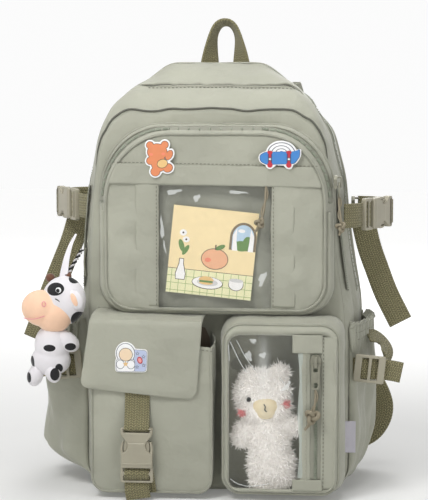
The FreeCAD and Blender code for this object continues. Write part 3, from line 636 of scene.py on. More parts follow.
ink_frame = printed("ink_frame", (0.20, 0.15, 0.09))
ink_brown = printed("ink_brown", (0.085, 0.055, 0.04))
ink_black = printed("ink_black", (0.02, 0.02, 0.02), 0.6)
leaf_green = printed("leaf_green", (0.13, 0.25, 0.07))
leaf_line = printed("leaf_line", (0.30, 0.42, 0.13))
bread_brown = printed("bread_brown", (0.78, 0.52, 0.22))
fruit_orange = printed("fruit_orange", (0.80, 0.43, 0.25))
fruit_blush = printed("fruit_blush", (0.80, 0.25, 0.15))
lamb_fleece = fleece("lamb_fleece", (0.98, 0.95, 0.91), 0.02)
lamb_pile = fleece("lamb_pile", (0.99, 0.965, 0.93), 0.01)
lamb_snout_cloth = plush("lamb_snout_cloth", (0.86, 0.74, 0.50))
lamb_snout_pink = printed("lamb_snout_pink", (0.80, 0.35, 0.33))
lamb_blush = fleece("lamb_blush", (0.68, 0.13, 0.13))
bead_black = moulded("bead_black", (0.01, 0.01, 0.01), 0.12)
cow_white = plush("cow_white", (0.80, 0.775, 0.80))
cow_peach = plush("cow_peach", (0.90, 0.60, 0.42))
cow_pink = plush("cow_pink", (0.80, 0.32, 0.36))
cow_horn = plush("cow_horn", (0.14, 0.06, 0.035))
cow_eye_white = plush("cow_eye_white", (0.9, 0.9, 0.9))
cow_card = printed("cow_card", (0.84, 0.66, 0.46), 0.3)
badge_white = printed("badge_white", (0.88, 0.88, 0.88), 0.28)
badge_orange = printed("badge_orange", (0.72, 0.25, 0.11), 0.3)
badge_blue = printed("badge_blue", (0.055, 0.23, 0.58), 0.3)
badge_navy = printed("badge_navy", (0.03, 0.05, 0.13), 0.3)
badge_red = printed("badge_red", (0.50, 0.03, 0.05), 0.3)
badge_grey = printed("badge_grey", (0.10, 0.11, 0.14), 0.3)
badge_lilac = printed("badge_lilac", (0.50, 0.56, 0.74), 0.3)


# ---------------------------------------------------------------- camera, light and floor

def make_camera():
    target = Vector((-0.003, -0.06, 0.2446))
    azimuth, elevation, distance = math.radians(5), math.radians(6), 2.0
    camera = bpy.data.objects.new("camera", bpy.data.cameras.new("camera"))
    camera.data.lens = 144
    camera.data.sensor_width = 36
    camera.location = target + distance * Vector((math.sin(azimuth) * math.cos(elevation),
                                                  -math.cos(azimuth) * math.cos(elevation),
                                                  math.sin(elevation)))
    camera.rotation_euler = (target - camera.location).to_track_quat("-Z", "Y").to_euler()
    bpy.context.scene.collection.objects.link(camera)
    bpy.context.scene.camera = camera


def area_light(name, place, target, size, watts):
    lamp = bpy.data.lights.new(name, "AREA")
    lamp.energy = watts
    lamp.shape = "RECTANGLE"
    lamp.size = size
    lamp.size_y = size
    holder = bpy.data.objects.new(name, lamp)
    holder.location = place
    holder.rotation_euler = (Vector(target) - Vector(place)).to_track_quat("-Z", "Y").to_euler()
    bpy.context.scene.collection.objects.link(holder)


def make_world():
    """White at the horizon, dimmer overhead, so that the light has a direction."""
    world = bpy.data.worlds.new("studio")
    world.use_nodes = True
    nodes, links = world.node_tree.nodes, world.node_tree.links
    place = nodes.new("ShaderNodeTexCoord")
    split = nodes.new("ShaderNodeSeparateXYZ")
    fade = nodes.new("ShaderNodeMapRange")
    for socket, value in zip(("From Min", "From Max", "To Min", "To Max"), (0.05, 0.3, 0.97, 0.22)):
        fade.inputs[socket].default_value = value
    links.new(place.outputs["Generated"], split.inputs[0])
    links.new(split.outputs[2], fade.inputs["Value"])
    links.new(fade.outputs["Result"], nodes["Background"].inputs["Strength"])
    nodes["Background"].inputs["Color"].default_value = (1, 1, 1, 1)
    bpy.context.scene.world = world


def make_floor():
    """Pale paper floor that brightens to white away from the bag."""
    recipe = Recipe("floor_paper", (0.70, 0.70, 0.69), 0.85)
    recipe.shader.inputs["Emission Color"].default_value = (1, 1, 1, 1)
    start, output = recipe.position()
    reach = recipe.add("ShaderNodeVectorMath", operation="LENGTH")
    recipe.join(start, output, reach, 0)
    recipe.fade(reach, "Value", recipe.shader, "Emission Strength", 0.35, 1.6, 0.12, 0.72)
    half = 4.0
    plate = mesh_piece("floor", [(-half, -half, 0), (half, -half, 0), (half, half, 0), (-half, half, 0)],
                       [(0, 1, 2, 3)], recipe.material)


def make_studio():
    make_world()
    make_floor()
    bpy.context.scene.view_settings.view_transform = "Standard"
    high, middle = (0, -0.03, 0.34), (0, -0.03, 0.22)
    area_light("key", (-0.40, -0.80, 1.14), high, 0.42, 7.4)
    area_light("fill", (1.3, -1.2, 0.9), middle, 0.9, 3.0)
    area_light("top", (0.1, -0.10, 1.3), high, 0.6, 5.2)
    area_light("rear", (0.2, 1.6, 1.3), middle, 1.0, 12)
    sun = bpy.data.lights.new("sky_light", "SUN")
    sun.energy = 0.35
    sun.angle = math.radians(50)
    holder = bpy.data.objects.new("sky_light", sun)
    holder.rotation_euler = (math.radians(32), math.radians(-14), 0)
    bpy.context.scene.collection.objects.link(holder)


# ---------------------------------------------------------------- cords

UPPER_ROUTE = [
    (0.1217, -0.074, 0.3008), (0.1217, -0.0742, 0.291), (0.1236, -0.0765, 0.281),
    (0.1246, -0.077, 0.271), (0.1224, -0.077, 0.262),
]
WINDOW_ROUTE = [
    (0.101, -0.1094, 0.11315), (0.101, -0.1094, 0.105), (0.1002, -0.1102, 0.096),
    (0.0982, -0.1102, 0.087), (0.0948, -0.11, 0.0794), (0.0906, -0.1098, 0.073),
]
HEADER_ROUTE = [
    (0.0505, -0.0855, 0.3104), (0.05, -0.0864, 0.299), (0.0488, -0.0868, 0.287),
    (0.0454, -0.0868, 0.2754), (0.0396, -0.0866, 0.265),
]
CORD_DIAMETER = 2.2 * MM


def cord_line(name, route, bevel=0.0):
    curve = bpy.data.curves.new(name, "CURVE")
    curve.dimensions = "3D"
    spline = curve.splines.new("NURBS")
    spline.points.add(len(route) - 1)
    for point, place in zip(spline.points, route):
        point.co = (*place, 1)
    spline.order_u = 3
    spline.use_endpoint_u = True
    spline.resolution_u = 10
    curve.bevel_depth = bevel
    curve.bevel_resolution = 4
    line = bpy.data.objects.new(name, curve)
    bpy.context.scene.collection.objects.link(line)
    return line


def line_points(route):
    """Points read from the route's own smooth spline."""
    line = cord_line("measure", route)
    mesh = bpy.data.meshes.new_from_object(line)
    points = array([v.co for v in mesh.vertices])
    bpy.data.objects.remove(line)
    bpy.data.meshes.remove(mesh)
    return points


def knot(name, centre, size, material, turn=0.0):
    """Overhand knot of thin cord: a trefoil loop drawn tight."""
    t = np.linspace(0, TAU, 90, endpoint=False)
    loop = np.stack([np.sin(t) + 1.7 * np.sin(2 * t), np.cos(t) - 1.7 * np.cos(2 * t), -np.sin(3 * t)],
                    axis=1)
    loop = loop * size / 5.4
    loop[:, 2] *= 1.2
    angle = math.radians(turn)
    spun = np.stack([loop[:, 0] * math.cos(angle) - loop[:, 1] * math.sin(angle), loop[:, 2],
                     loop[:, 0] * math.sin(angle) + loop[:, 1] * math.cos(angle)], axis=1)
    return tube(name, spun + array(centre), size * 0.17, material, closed=True, sides=8)


def make_pull_cord(name, route, body, knot_at, turn, size=9 * MM):
    line = cord_line(f"{name}_line", route, CORD_DIAMETER / 2)
    line.data.materials.append(cord_plain)
    on_body(line, body, "pull_cord", name)
    points = line_points(route)
    length = path_length(points)
    spot = points[int(len(points) * knot_at)] - array((0, 0.12 * size, 0))
    tied = knot(f"{name}_knot", spot, size, cord_plain, turn)
    on_body(tied, body, "pull_cord")
    side = array((1, 0, 0)) * 2.2 * MM
    second = resampled(points, 40)
    wave = np.sin(np.linspace(0, TAU * 1.5, 40))[:, None]
    depth = array((0, -1, 0)) * np.cos(np.linspace(0, TAU * 1.5, 40))[:, None] * 0.9 * MM
    other = tube(f"{name}_strand", second + side * wave + depth, CORD_DIAMETER * 0.36, cord_plain)
    on_body(other, body, "pull_cord")


# ---------------------------------------------------------------- the bag itself

REAR_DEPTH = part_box("gusset_rear")[1].y
RIDGE_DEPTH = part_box("gusset_rear")[0].y
SLIT_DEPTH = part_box("gusset_front")[0].y
FACE_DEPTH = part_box("front_panel")[0].y

LEAN = -5.5 * MM  # the filled bag leans a little to one side above its pockets
FOLD_LENGTH = 0.062  # distance between the walls' long soft folds
TUCK_LENGTH = 0.017  # and between the small gathers along their seams
SEAM_REACH = 0.16  # share of a wall's depth that the gathers reach
FLOOR_GAP = 0.4 * MM
MAIN_ZIP_FOOT = 0.2
SECOND_ZIP_FOOT, SECOND_ZIP_HEAD = 0.204, 0.31


def leaning(loop):
    return loop + np.outer(smooth((loop[:, 1] - 0.15) / 0.12), (LEAN, 0))


RIDGE_LOOP = leaning(outline_of("back_panel", REAR_DEPTH))
REAR_LOOP = RIDGE_LOOP - np.outer(smooth((RIDGE_LOOP[:, 1] - 0.33) / 0.09), (0, 9 * MM))
SLIT_LOOP = leaning(outline_of("divider_panel", SLIT_DEPTH))
SEAM_LOOP = leaning(outline_of("front_panel", FACE_DEPTH))
SEAM_PUCKER = folds(at_depth(SEAM_LOOP, 0), 0.045, 61) * smooth((SEAM_LOOP[:, 1] - 0.30) / 0.06)
SEAM_LOOP = SEAM_LOOP + np.outer(SEAM_PUCKER, (0, 2.2 * MM))


def loft(first, second, depths, puff, seed, rows=16, fold=1.1 * MM, pucker=0.55 * MM):
    """Cloth wall between two outlines: it swells between its seams and gathers along them."""
    rise = []
    for t in np.linspace(0, 1, rows):
        depth = depths[0] + (depths[1] - depths[0]) * t
        loop = first * (1 - t) + second * t
        places = at_depth(loop, depth)
        swell = puff * math.sin(math.pi * t)
        high = np.clip(loop[:, 1] / loop[:, 1].max(), 0, 1)
        drape = folds(places, FOLD_LENGTH, seed, stretch=(1, 1, 3.2)) * fold * (1.2 - 0.5 * high)
        edge = np.exp(-((min(t, 1 - t) / SEAM_REACH) ** 2))
        tuck = folds(places, TUCK_LENGTH, seed + 1, 2, stretch=(1, 9, 1)) * pucker * edge
        offset = swell + drape * math.sin(math.pi * t) ** 0.6 + tuck
        rise.append(at_depth(grow_loop(loop, offset), depth))
    rise = array(rise)
    rise[:, :, 2] = np.maximum(rise[:, :, 2], FLOOR_GAP)
    return rise


REAR_ROWS = loft(REAR_LOOP, RIDGE_LOOP, (REAR_DEPTH + 3 * MM, RIDGE_DEPTH), 1.2 * MM, 11, rows=14)
MAIN_ROWS = loft(RIDGE_LOOP, SLIT_LOOP, (RIDGE_DEPTH, SLIT_DEPTH), 2.2 * MM, 31, fold=1.6 * MM)
SECOND_ROWS = loft(SLIT_LOOP, SEAM_LOOP, (SLIT_DEPTH - 0.5 * MM, FACE_DEPTH + 1.5 * MM), 4.2 * MM, 51,
                   rows=20, fold=1.8 * MM, pucker=1.0 * MM)


def wall(name, node, rows):
    return sewn(grid_piece(name, rows, sage_cloth, closed=True, thickness=1.0 * MM), node)


def bridge(name, node, outer, inner, rows, dome, fold, seed):
    """Face between an outer and an inner closed line of 3-D points, domed between them."""
    layers = []
    for t in np.linspace(0, 1, rows):
        ring = outer * (1 - t) + inner * t
        lift = dome * math.sin(math.pi * t) + folds(ring, 0.04, seed) * fold * math.sin(math.pi * t)
        ring = ring + array((0, -1, 0)) * lift[:, None]
        layers.append(ring)
    return sewn(grid_piece(name, layers, sage_cloth, closed=True, thickness=0.8 * MM), node)


def piping(name, path, radius, closed=True, seed=3):
    """Covered cord along a seam, a little uneven as sewn cord is."""
    path = array(path)
    path = path + array((1, 0.3, 1)) * (folds(path, 0.05, seed)[:, None] * 0.25 * MM)
    return sewn(tube(name, path, radius, sage_edge, closed))


def make_front_panel():
    """Whole front sheet, slightly domed, with soft vertical drags under the pockets."""
    centre = SEAM_LOOP.mean(axis=0)
    rows = []
    for t in np.linspace(0, 1, 40):
        loop = centre + (SEAM_LOOP - centre) * (1 - t * 0.985)
        depth = FACE_DEPTH - 0.8 * MM - 2.2 * MM * math.sin(math.pi / 2 * min(1, t * 5)) ** 0.8
        places = at_depth(loop, depth)
        soft = folds(places, 0.075, 21, stretch=(1, 1, 1.6)) * 2.0 * MM * min(1, t * 6)
        places[:, 1] -= soft
        rows.append(places)
    piece = grid_piece("front_panel_cloth", rows, sage_cloth, closed=True, thickness=1.0 * MM)
    sewn(piece, "front_panel")


def make_shell():
    wall("gusset_rear_cloth", "gusset_rear", REAR_ROWS)
    wall("gusset_front_cloth", "gusset_front", MAIN_ROWS)
    wall("second_gusset_cloth", "second_gusset", SECOND_ROWS)
    make_front_panel()
    piping("ridge_piping", at_depth(grow_loop(RIDGE_LOOP, -0.2 * MM), RIDGE_DEPTH), 1.1 * MM)
    piping("front_seam_lip", at_depth(grow_loop(SEAM_LOOP, -0.2 * MM), FACE_DEPTH + 1.2 * MM), 1.3 * MM)
    divider = grid_piece("divider_cloth", [at_depth(SLIT_LOOP * (0.97, 0.985) + (0, 2 * MM), SLIT_DEPTH),
                                           at_depth(SLIT_LOOP * 0.01 + (0, 0.2), SLIT_DEPTH)],
                         lining_cloth, closed=True)
    sewn(divider, "divider_panel")
    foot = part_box("base_panel")
    base = []
    for y in np.linspace(foot[0].y, foot[1].y, 18):
        row = []
        for x in np.linspace(foot[0].x, foot[1].x, 40):
            rub = 0.5 * MM * (1 + math.sin(x * 61) * math.sin(y * 73))
            row.append((x, y, 3.0 * MM + rub * 0.4))
        base.append(row)
    piece = grid_piece("base_cloth", base, sage_edge, thickness=2.0 * MM)
    sewn(piece, "base_panel")


def top_part(loop, low):
    """The stretch of a closed (x, z) loop above a height, from its right side to its left side."""
    return loop[loop[:, 1] > low]


def grow_open(line, amount):
    """Shift an open (x, z) line to its outer side; lines run anticlockwise."""
    way = tangents(line)
    return line + np.stack([way[:, 1], -way[:, 0]], axis=1) * amount


def crown_line(row, half):
    """Stretch of the second gusset's row over the crown, up to a distance each side."""
    line = SECOND_ROWS[row]
    return line[(line[:, 2] > 0.37) & (np.abs(line[:, 0]) < half)]


def make_slit():
    """Covered zip along the divider seam: a dark tube of painted shade for the slit under a folded lip,
    stitched below.
    """
    up = array((0, -0.3, 0.95))
    # slit_shadow is a dark tube of painted shade in the gap between the two lips
    for name, row, half, rise, radius, material, slot in (
            ("slit_lip", 0, 84, 1.2, 1.5, sage_edge, "shell_fabric"),
            ("slit_shadow", 1, 80, 0.3, 1.0, seam_shadow, "zip_tape"),
            ("slit_lower_lip", 2, 78, 0.2, 1.2, sage_edge, "shell_fabric")):
        line = crown_line(row, half * MM) + up * rise * MM
        on_body(tube(name, line, radius * MM, material, tapered=True), "root", slot)
    sewn(stitches("slit_stitches", crown_line(4, 74 * MM) + up * 0.4 * MM, tuple(up), thread))
    seam = top_part(SEAM_LOOP, SEAM_LOOP[:, 1].max() - 60 * MM)
    # painted shade: a dark tube along the top of the front seam
    tuck = at_depth(grow_open(seam, 0.9 * MM), FACE_DEPTH - 0.6 * MM)
    sewn(tube("front_seam_shadow", tuck, 1.1 * MM, seam_shadow, tapered=True))


def zip_line(name, path, out, node, tape_width=11 * MM, coil=4 * MM):
    """Zip: woven tape with a nylon coil along it, laid on the surface whose normal is out."""
    path = array(path)
    out = unit(np.broadcast_to(array(out), path.shape))
    across = np.cross(tangents(path), out)
    tape = ribbon(f"{name}_tape", path, across, tape_width, 0.7 * MM, tape_cloth)
    on_body(tape, "root", "zip_tape", node)
    teeth = zip_coil(f"{name}_coil", path + out * 0.8 * MM, out, coil_nylon, coil)
    on_body(teeth, "root", "zip_tape")


def shoulder_drop(line):
    """0 below the crown's shoulders, 1 above them, where the main zip is sunk out of sight."""
    return smooth((line[:, 2] - 0.392) / 0.016)


def make_main_zips():
    """Main and second compartment zips, each an arch laid on its gusset."""
    arch = MAIN_ROWS[5]
    arch = arch[arch[:, 2] > MAIN_ZIP_FOOT]
    way = tangents(arch[:, [0, 2]])
    out = np.stack([way[:, 1], np.zeros(len(way)), -way[:, 0]], axis=1)
    sunk = (0.7 - 3.4 * shoulder_drop(arch)) * MM
    zip_line("main_zip", arch + out * sunk[:, None], out, "main_zip", tape_width=9 * MM)
    for row in (3, 7):
        edge = MAIN_ROWS[row]
        edge = edge[edge[:, 2] > MAIN_ZIP_FOOT - 2 * MM]
        edge[:, 2] -= 3.0 * MM * shoulder_drop(edge)
        sewn(tube(f"main_zip_fold_{row}", edge, 0.9 * MM, sage_edge, sides=8))
    loop = SLIT_LOOP * 0.28 + SEAM_LOOP * 0.72
    arch = top_part(loop, SECOND_ZIP_FOOT)
    path = at_depth(grow_open(arch, 4.6 * MM), -0.049)
    way = tangents(arch)
    out = np.stack([way[:, 1], np.zeros(len(way)), -way[:, 0]], axis=1)
    for label, pick in (("right", path[:, 0] > 0), ("left", path[:, 0] < 0)):
        keep = pick & (path[:, 2] < SECOND_ZIP_HEAD)
        zip_line(f"second_zip_{label}", path[keep], out[keep], "second_zip")


# ---------------------------------------------------------------- upper window pocket

UPPER_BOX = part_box("upper_pocket_gusset")
UPPER_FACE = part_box("upper_pocket_front")[0].y
WINDOW_HALF = 0.056
WINDOW_LOW = 0.189
HEADER_LOW = 0.311
FLANGE_HIGH = 0.285  # height where the pocket's lower flange fades out
UPPER_ZIP_FOOT = 0.2935
HEADER_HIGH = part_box("upper_trim")[1].z


def upper_loop(inset):
    """Outline of the upper pocket: small corners at the foot, wide shoulders at the head."""
    left, right = UPPER_BOX[0].x + inset, UPPER_BOX[1].x - inset
    low, high = UPPER_BOX[0].z + inset * 0.7, UPPER_BOX[1].z - inset
    return rectangle_loop(left, right, low, high, 0.030 - inset * 0.5, (0.062, 0.070))


def make_upper_pocket():
    root_loop = upper_loop(-2 * MM)
    face_loop = upper_loop(7.0 * MM)
    mid_loop = upper_loop(1.5 * MM)
    gusset = loft(root_loop, mid_loop, (FACE_DEPTH - 2.5 * MM, FACE_DEPTH - 13 * MM), 1.6 * MM, 71,
                  rows=9, fold=0.6 * MM, pucker=0.35 * MM)
    slope = loft(mid_loop, face_loop, (FACE_DEPTH - 13 * MM, UPPER_FACE), 1.0 * MM, 73, rows=9,
                 fold=0.4 * MM, pucker=0.3 * MM)
    piece = grid_piece("upper_pocket_gusset_cloth", np.vstack([gusset, slope[1:]]), sage_cloth,
                       closed=True, thickness=0.8 * MM)
    sewn(piece, "upper_pocket_gusset")
    piping("upper_root_piping", at_depth(grow_loop(root_loop, 0.4 * MM), FACE_DEPTH - 3 * MM), 1.4 * MM)
    rim = at_depth(grow_loop(face_loop, 0.6 * MM), UPPER_FACE - 0.2 * MM)
    piping("upper_face_piping", rim, 1.5 * MM, seed=8)
    half_way = COLUMNS // 2  # so that the kept stretch runs unbroken through the foot
    foot = np.roll(face_loop[:, 1] < FLANGE_HIGH, half_way)
    flange = np.roll(at_depth(upper_loop(3.5 * MM), UPPER_FACE + 6 * MM), half_way, axis=0)[foot]
    sewn(tube("upper_flange", flange, 3.2 * MM, sage_cloth, sides=12))

    window = rectangle_loop(-WINDOW_HALF, WINDOW_HALF, WINDOW_LOW, HEADER_LOW, 1.2 * MM)
    bridge("upper_pocket_face", "upper_pocket_front", at_depth(face_loop, UPPER_FACE),
           at_depth(window, UPPER_FACE - 1 * MM), rows=16, dome=0.6 * MM, fold=1.3 * MM, seed=77)
    make_upper_window()
    make_upper_trim(face_loop)
    make_upper_zip()


def make_upper_window():
    """Clear sheet over a shaded inner panel, slack enough to carry soft creases."""
    across = np.linspace(-WINDOW_HALF - 2 * MM, WINDOW_HALF + 2 * MM, 60)
    up = np.linspace(WINDOW_LOW - 2 * MM, HEADER_LOW + 2 * MM, 60)
    rows = soft_sheet(across, up, UPPER_FACE + 0.6 * MM, 0.05, 91, 0.35 * MM)
    on_body(grid_piece("upper_window_sheet", rows, vinyl), "root", "vinyl", "window_upper")
    back = soft_sheet(across, up, UPPER_FACE + 9 * MM, 0.06, 92, 1.5 * MM)
    on_body(grid_piece("upper_window_backing", back, inner_cloth), "root", "lining_fabric")
    glints = [glint(x, UPPER_FACE - 0.2 * MM, z, width, height, lean) for x, z, width, height, lean in (
        (-0.041, 0.3045, 0.016, 0.0045, 0.1), (-0.018, 0.2985, 0.007, 0.0065, 0.9),
        (0.022, 0.3045, 0.02, 0.003, -0.1), (-0.0525, 0.268, 0.004, 0.02, 0.1),
        (0.047, 0.219, 0.006, 0.016, -0.5), (-0.05, 0.25, 0.002, 0.012, 0.2))]
    on_body(joined("upper_window_glints", glints), "root", "vinyl")


def soft_sheet(across, up, depth, wavelength, seed, slack):
    """Rows of points of an upright sheet at a depth, slack enough to wander by a distance."""
    grid = array([[(x, 0, z) for x in across] for z in up])
    grid[..., 1] = depth + folds(grid, wavelength, seed) * slack
    return grid


def glint(x, y, z, width, height, lean):
    """Small irregular highlight where the clear sheet is creased."""
    angles = np.linspace(0, TAU, 9, endpoint=False)
    reach = 0.5 * (1 + 0.3 * np.sin(angles * 3 + x * 900) + 0.18 * np.sin(angles * 2 + z * 700))
    across = np.cos(angles) * reach * width
    up = np.sin(angles) * reach * height
    verts = [(x + a * math.cos(lean) - u * math.sin(lean), y, z + a * math.sin(lean)
              + u * math.cos(lean)) for a, u in zip(across, up)]
    return mesh_piece("glint", verts, [tuple(range(9))], glint_film)


def band_sheet(name, left, right, low, high, depth, seed, wave=0.0, dome=0.8 * MM, columns=24, rows=60):
    """Flat strip of cloth lying on a face, edges turned under; wave wanders its side edges."""
    grid = []
    for z in np.linspace(low, high, rows):
        drift = wave * folds([(0, 0, z)], 0.06, seed)[0]
        line = []
        for t in np.linspace(0, 1, columns):
            x = left + (right - left) * t + drift
            crown = dome * (math.sin(math.pi * t) ** 0.35)
            line.append((x, depth - crown - 0.25 * MM * folds([(x, 0, z)], 0.03, seed + 1)[0], z))
        grid.append(line)
    return sewn(grid_piece(name, grid, sage_cloth, thickness=1.1 * MM))


def make_upper_trim(face_loop):
    """Two facings beside the window and the header band across them, with their stitching."""
    depth = UPPER_FACE - 1.1 * MM
    inner, outer = WINDOW_HALF, WINDOW_HALF + 23 * MM
    low = UPPER_BOX[0].z + 8 * MM
    for side, label in SIDES:
        edges = sorted((side * inner, side * outer))
        band_sheet(f"facing_{label}", *edges, low, HEADER_LOW + 3 * MM, depth, 100 + side,
                   wave=0.8 * MM)
        line = [(side * (inner + 1.8 * MM), depth - 1.7 * MM, z)
                for z in np.linspace(low + 2 * MM, HEADER_LOW - 2 * MM, 60)]
        sewn(stitches(f"facing_stitches_{label}", line, (0, -1, 0), thread))
    header = []
    for t in np.linspace(0, 1, 12):
        z = HEADER_LOW + (HEADER_HIGH - HEADER_LOW) * t
        half = min(0.1055, float(np.interp(z, face_loop[:COLUMNS // 2, 1], face_loop[:COLUMNS // 2, 0])))
        row = []
        for x in np.linspace(-half, half, 90):
            lift = 0.7 * MM * math.sin(math.pi * (0.15 + 0.7 * t)) * (1 - (x / half) ** 8)
            soft = 0.35 * MM * folds([(x, 0, z)], 0.05, 113)[0]
            row.append((x, depth - 0.8 * MM - lift - soft, z - 1.5 * MM * (x / half)))
        header.append(row)
    piece = grid_piece("header_band", header, sage_cloth, thickness=1.2 * MM)
    sewn(piece, "upper_trim")
    line = [(x, depth - 1.4 * MM, HEADER_HIGH + 1.2 * MM - 1.5 * MM * (x / 0.1))
            for x in np.linspace(-0.1, 0.1, 120)]
    sewn(stitches("header_stitches", line, (0, -1, 0), thread))


def make_upper_zip():
    loop = upper_loop(4.0 * MM)
    arch = top_part(loop, UPPER_ZIP_FOOT)
    depth = FACE_DEPTH - 16.5 * MM
    way = tangents(arch)
    out = np.stack([way[:, 1], np.full(len(way), -1.1), -way[:, 0]], axis=1)
    path = at_depth(grow_open(arch, 1.9 * MM), depth - 0.4 * MM)
    zip_line("upper_zip", path, out, "upper_zip", tape_width=6.4 * MM, coil=3.4 * MM)
    for label, inset, back in (("outer", -0.2, 11.5), ("inner", 6.4, 20.3)):
        edge = at_depth(top_part(upper_loop(inset * MM), 0.292), FACE_DEPTH - back * MM)
        sewn(tube(f"upper_zip_fold_{label}", edge, 1.3 * MM, sage_edge, sides=8))
    band_sheet("upper_zip_stop", -0.1145, -0.1035, 0.283, 0.292, depth + 1 * MM, 7, dome=2.2 * MM,
               rows=8, columns=12)


# ---------------------------------------------------------------- card behind the upper window

def flat_shape(name, points, depth, material, place):
    """Flat ink shape on the card: (x, z) points in card millimetres, turned and set in place."""
    centre, tilt = place
    cosine, sine = math.cos(tilt), math.sin(tilt)
    verts = [(centre[0] + (x * cosine - z * sine) * MM, depth, centre[1] + (x * sine + z * cosine) * MM)
             for x, z in points]
    return mesh_piece(name, verts, [tuple(range(len(verts)))], material, False)


def oval(x, z, half_x, half_z, count=20, start=0.0, sweep=TAU, tilt=0.0):
    """Points of an ellipse or of part of one."""
    ends = abs(sweep - TAU) > 1e-6
    angles = np.linspace(start, start + sweep, count, endpoint=ends)
    return [(x + half_x * math.cos(a) * math.cos(tilt) - half_z * math.sin(a) * math.sin(tilt),
             z + half_x * math.cos(a) * math.sin(tilt) + half_z * math.sin(a) * math.cos(tilt))
            for a in angles]


def block(left, right, low, high):
    return [(left, low), (right, low), (right, high), (left, high)]


def make_card():
    low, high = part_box("card_insert")
    depth = low.y
    place = (((low.x + high.x) / 2, (low.z + high.z) / 2), math.radians(-5.7))
    half_x, half_z = 42.5, 43.5
    layers = [
        (card_cream, block(-half_x, half_x, -half_z, half_z)),
        (card_cloth, block(-half_x, half_x, -half_z, -19)),
        (ink_brown, block(-half_x, half_x, -19.3, -18.8)),
        (ink_frame, [(16, 5), (44 - 1.6, 5)] + oval(29.2, 18, 13.2, 15, 16, 0, math.pi)),
        (card_sky, [(18.5, 6)] + [(40, 6)] + oval(29.2, 18, 10.8, 12.6, 16, 0, math.pi)),
        (leaf_green, oval(28, 9.5, 8, 5.2)),
        (leaf_green, oval(34, 12.5, 5, 7)),
        (card_white, oval(27, 24.5, 3.6, 1.8)),
        (card_white, [(19, 4.5), (24.5, 4.5), (22.8, 14), (22.5, 27), (19, 20)]),
        (card_white, [(34.8, 4.5), (40, 4.5), (39.8, 20), (36, 27), (35.6, 14)]),
        (leaf_green, oval(-31, 4, 2.6, 6.5, tilt=0.35)),
        (leaf_green, oval(-26.5, 0, 2.2, 5.8, tilt=-0.5)),
        (card_white, oval(-30.5, 17, 3.6, 3.2)),
        (card_white, oval(-27, 10.5, 3.4, 3.0)),
        (ink_brown, oval(-30.5, 17, 1.0, 1.0)),
        (ink_brown, oval(-27, 10.5, 1.0, 1.0)),
        (ink_brown, [(-34.2, -30), (-25, -30), (-24.2, -24), (-27, -14), (-27.2, -8.6), (-32, -8.6),
                     (-32.2, -14), (-35, -24)]),
        (card_white, [(-33.8, -29.4), (-25.4, -29.4), (-24.9, -24), (-27.7, -14), (-27.8, -9.2),
                      (-31.4, -9.2), (-31.5, -14), (-34.3, -24)]),
        (ink_brown, oval(-2, -30.5, 15.6, 6.4)),
        (card_white, oval(-2, -30.3, 15.0, 5.9)),
        (card_grey, oval(-2, -30.0, 10.5, 3.7)),
        (leaf_green, block(-10, 3.4, -30.5, -28)),
        (bread_brown, oval(-3.3, -28.2, 7.6, 4.2, 14, 0, math.pi)),
        (bread_brown, oval(-3.3, -30.2, 7.2, 2.2, 14, math.pi, math.pi)),
        (ink_brown, oval(26.5, -29.4, 7.6, 6.2)),
        (card_white, oval(26.5, -29.4, 7.0, 5.6)),
        (card_white, block(19.6, 33.4, -30, -25)),
        (card_grey, oval(26.5, -25.2, 6.9, 1.9)),
        (ink_brown, oval(3, -6, 13.6, 10.6)),
        (fruit_orange, oval(3, -6, 13.0, 10.0)),
        (fruit_blush, oval(-3.6, -7.5, 3.2, 2.2)),
        (leaf_green, oval(7.5, 6.0, 5.2, 2.2, tilt=0.5)),
        (ink_brown, block(2.4, 3.6, 3.2, 8.2)),
    ]
    pieces = [flat_shape(f"card_{step}", points, depth - 0.012 * MM * step, material, place)
              for step, (material, points) in enumerate(layers)]
    checks = [block(x, x + 0.5, -half_z, -19) for x in np.arange(-38.5, 42, 7.4)]
    checks += [block(-half_x, half_x, z, z + 0.5) for z in np.arange(-41, -20, 7.2)]
    pieces += [flat_shape("card_line", line, depth - 0.03 * MM, leaf_line, place) for line in checks]
    pieces.append(flat_shape("card_back", layers[0][1], high.y, card_cream, place))
    on_body(joined("picture_card", pieces), "root", "card", "card_insert")


# ---------------------------------------------------------------- left pocket with its flap

POCKET_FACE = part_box("flap_pocket_body")[0].y


def u_path(left, right, low, left_high, right_high, radius):
    """Open (x, z) line down the left side, along the foot and up the right side."""
    points = [(left, left_high), (left, low + radius)]
    for middle, start in ((left + radius, 180), (right - radius, 270)):
        for angle in np.radians(np.linspace(start, start + 90, 8)):
            points.append((middle + radius * math.cos(angle), low + radius + radius * math.sin(angle)))
    points.append((right, right_high))
    return resampled(points, 120)


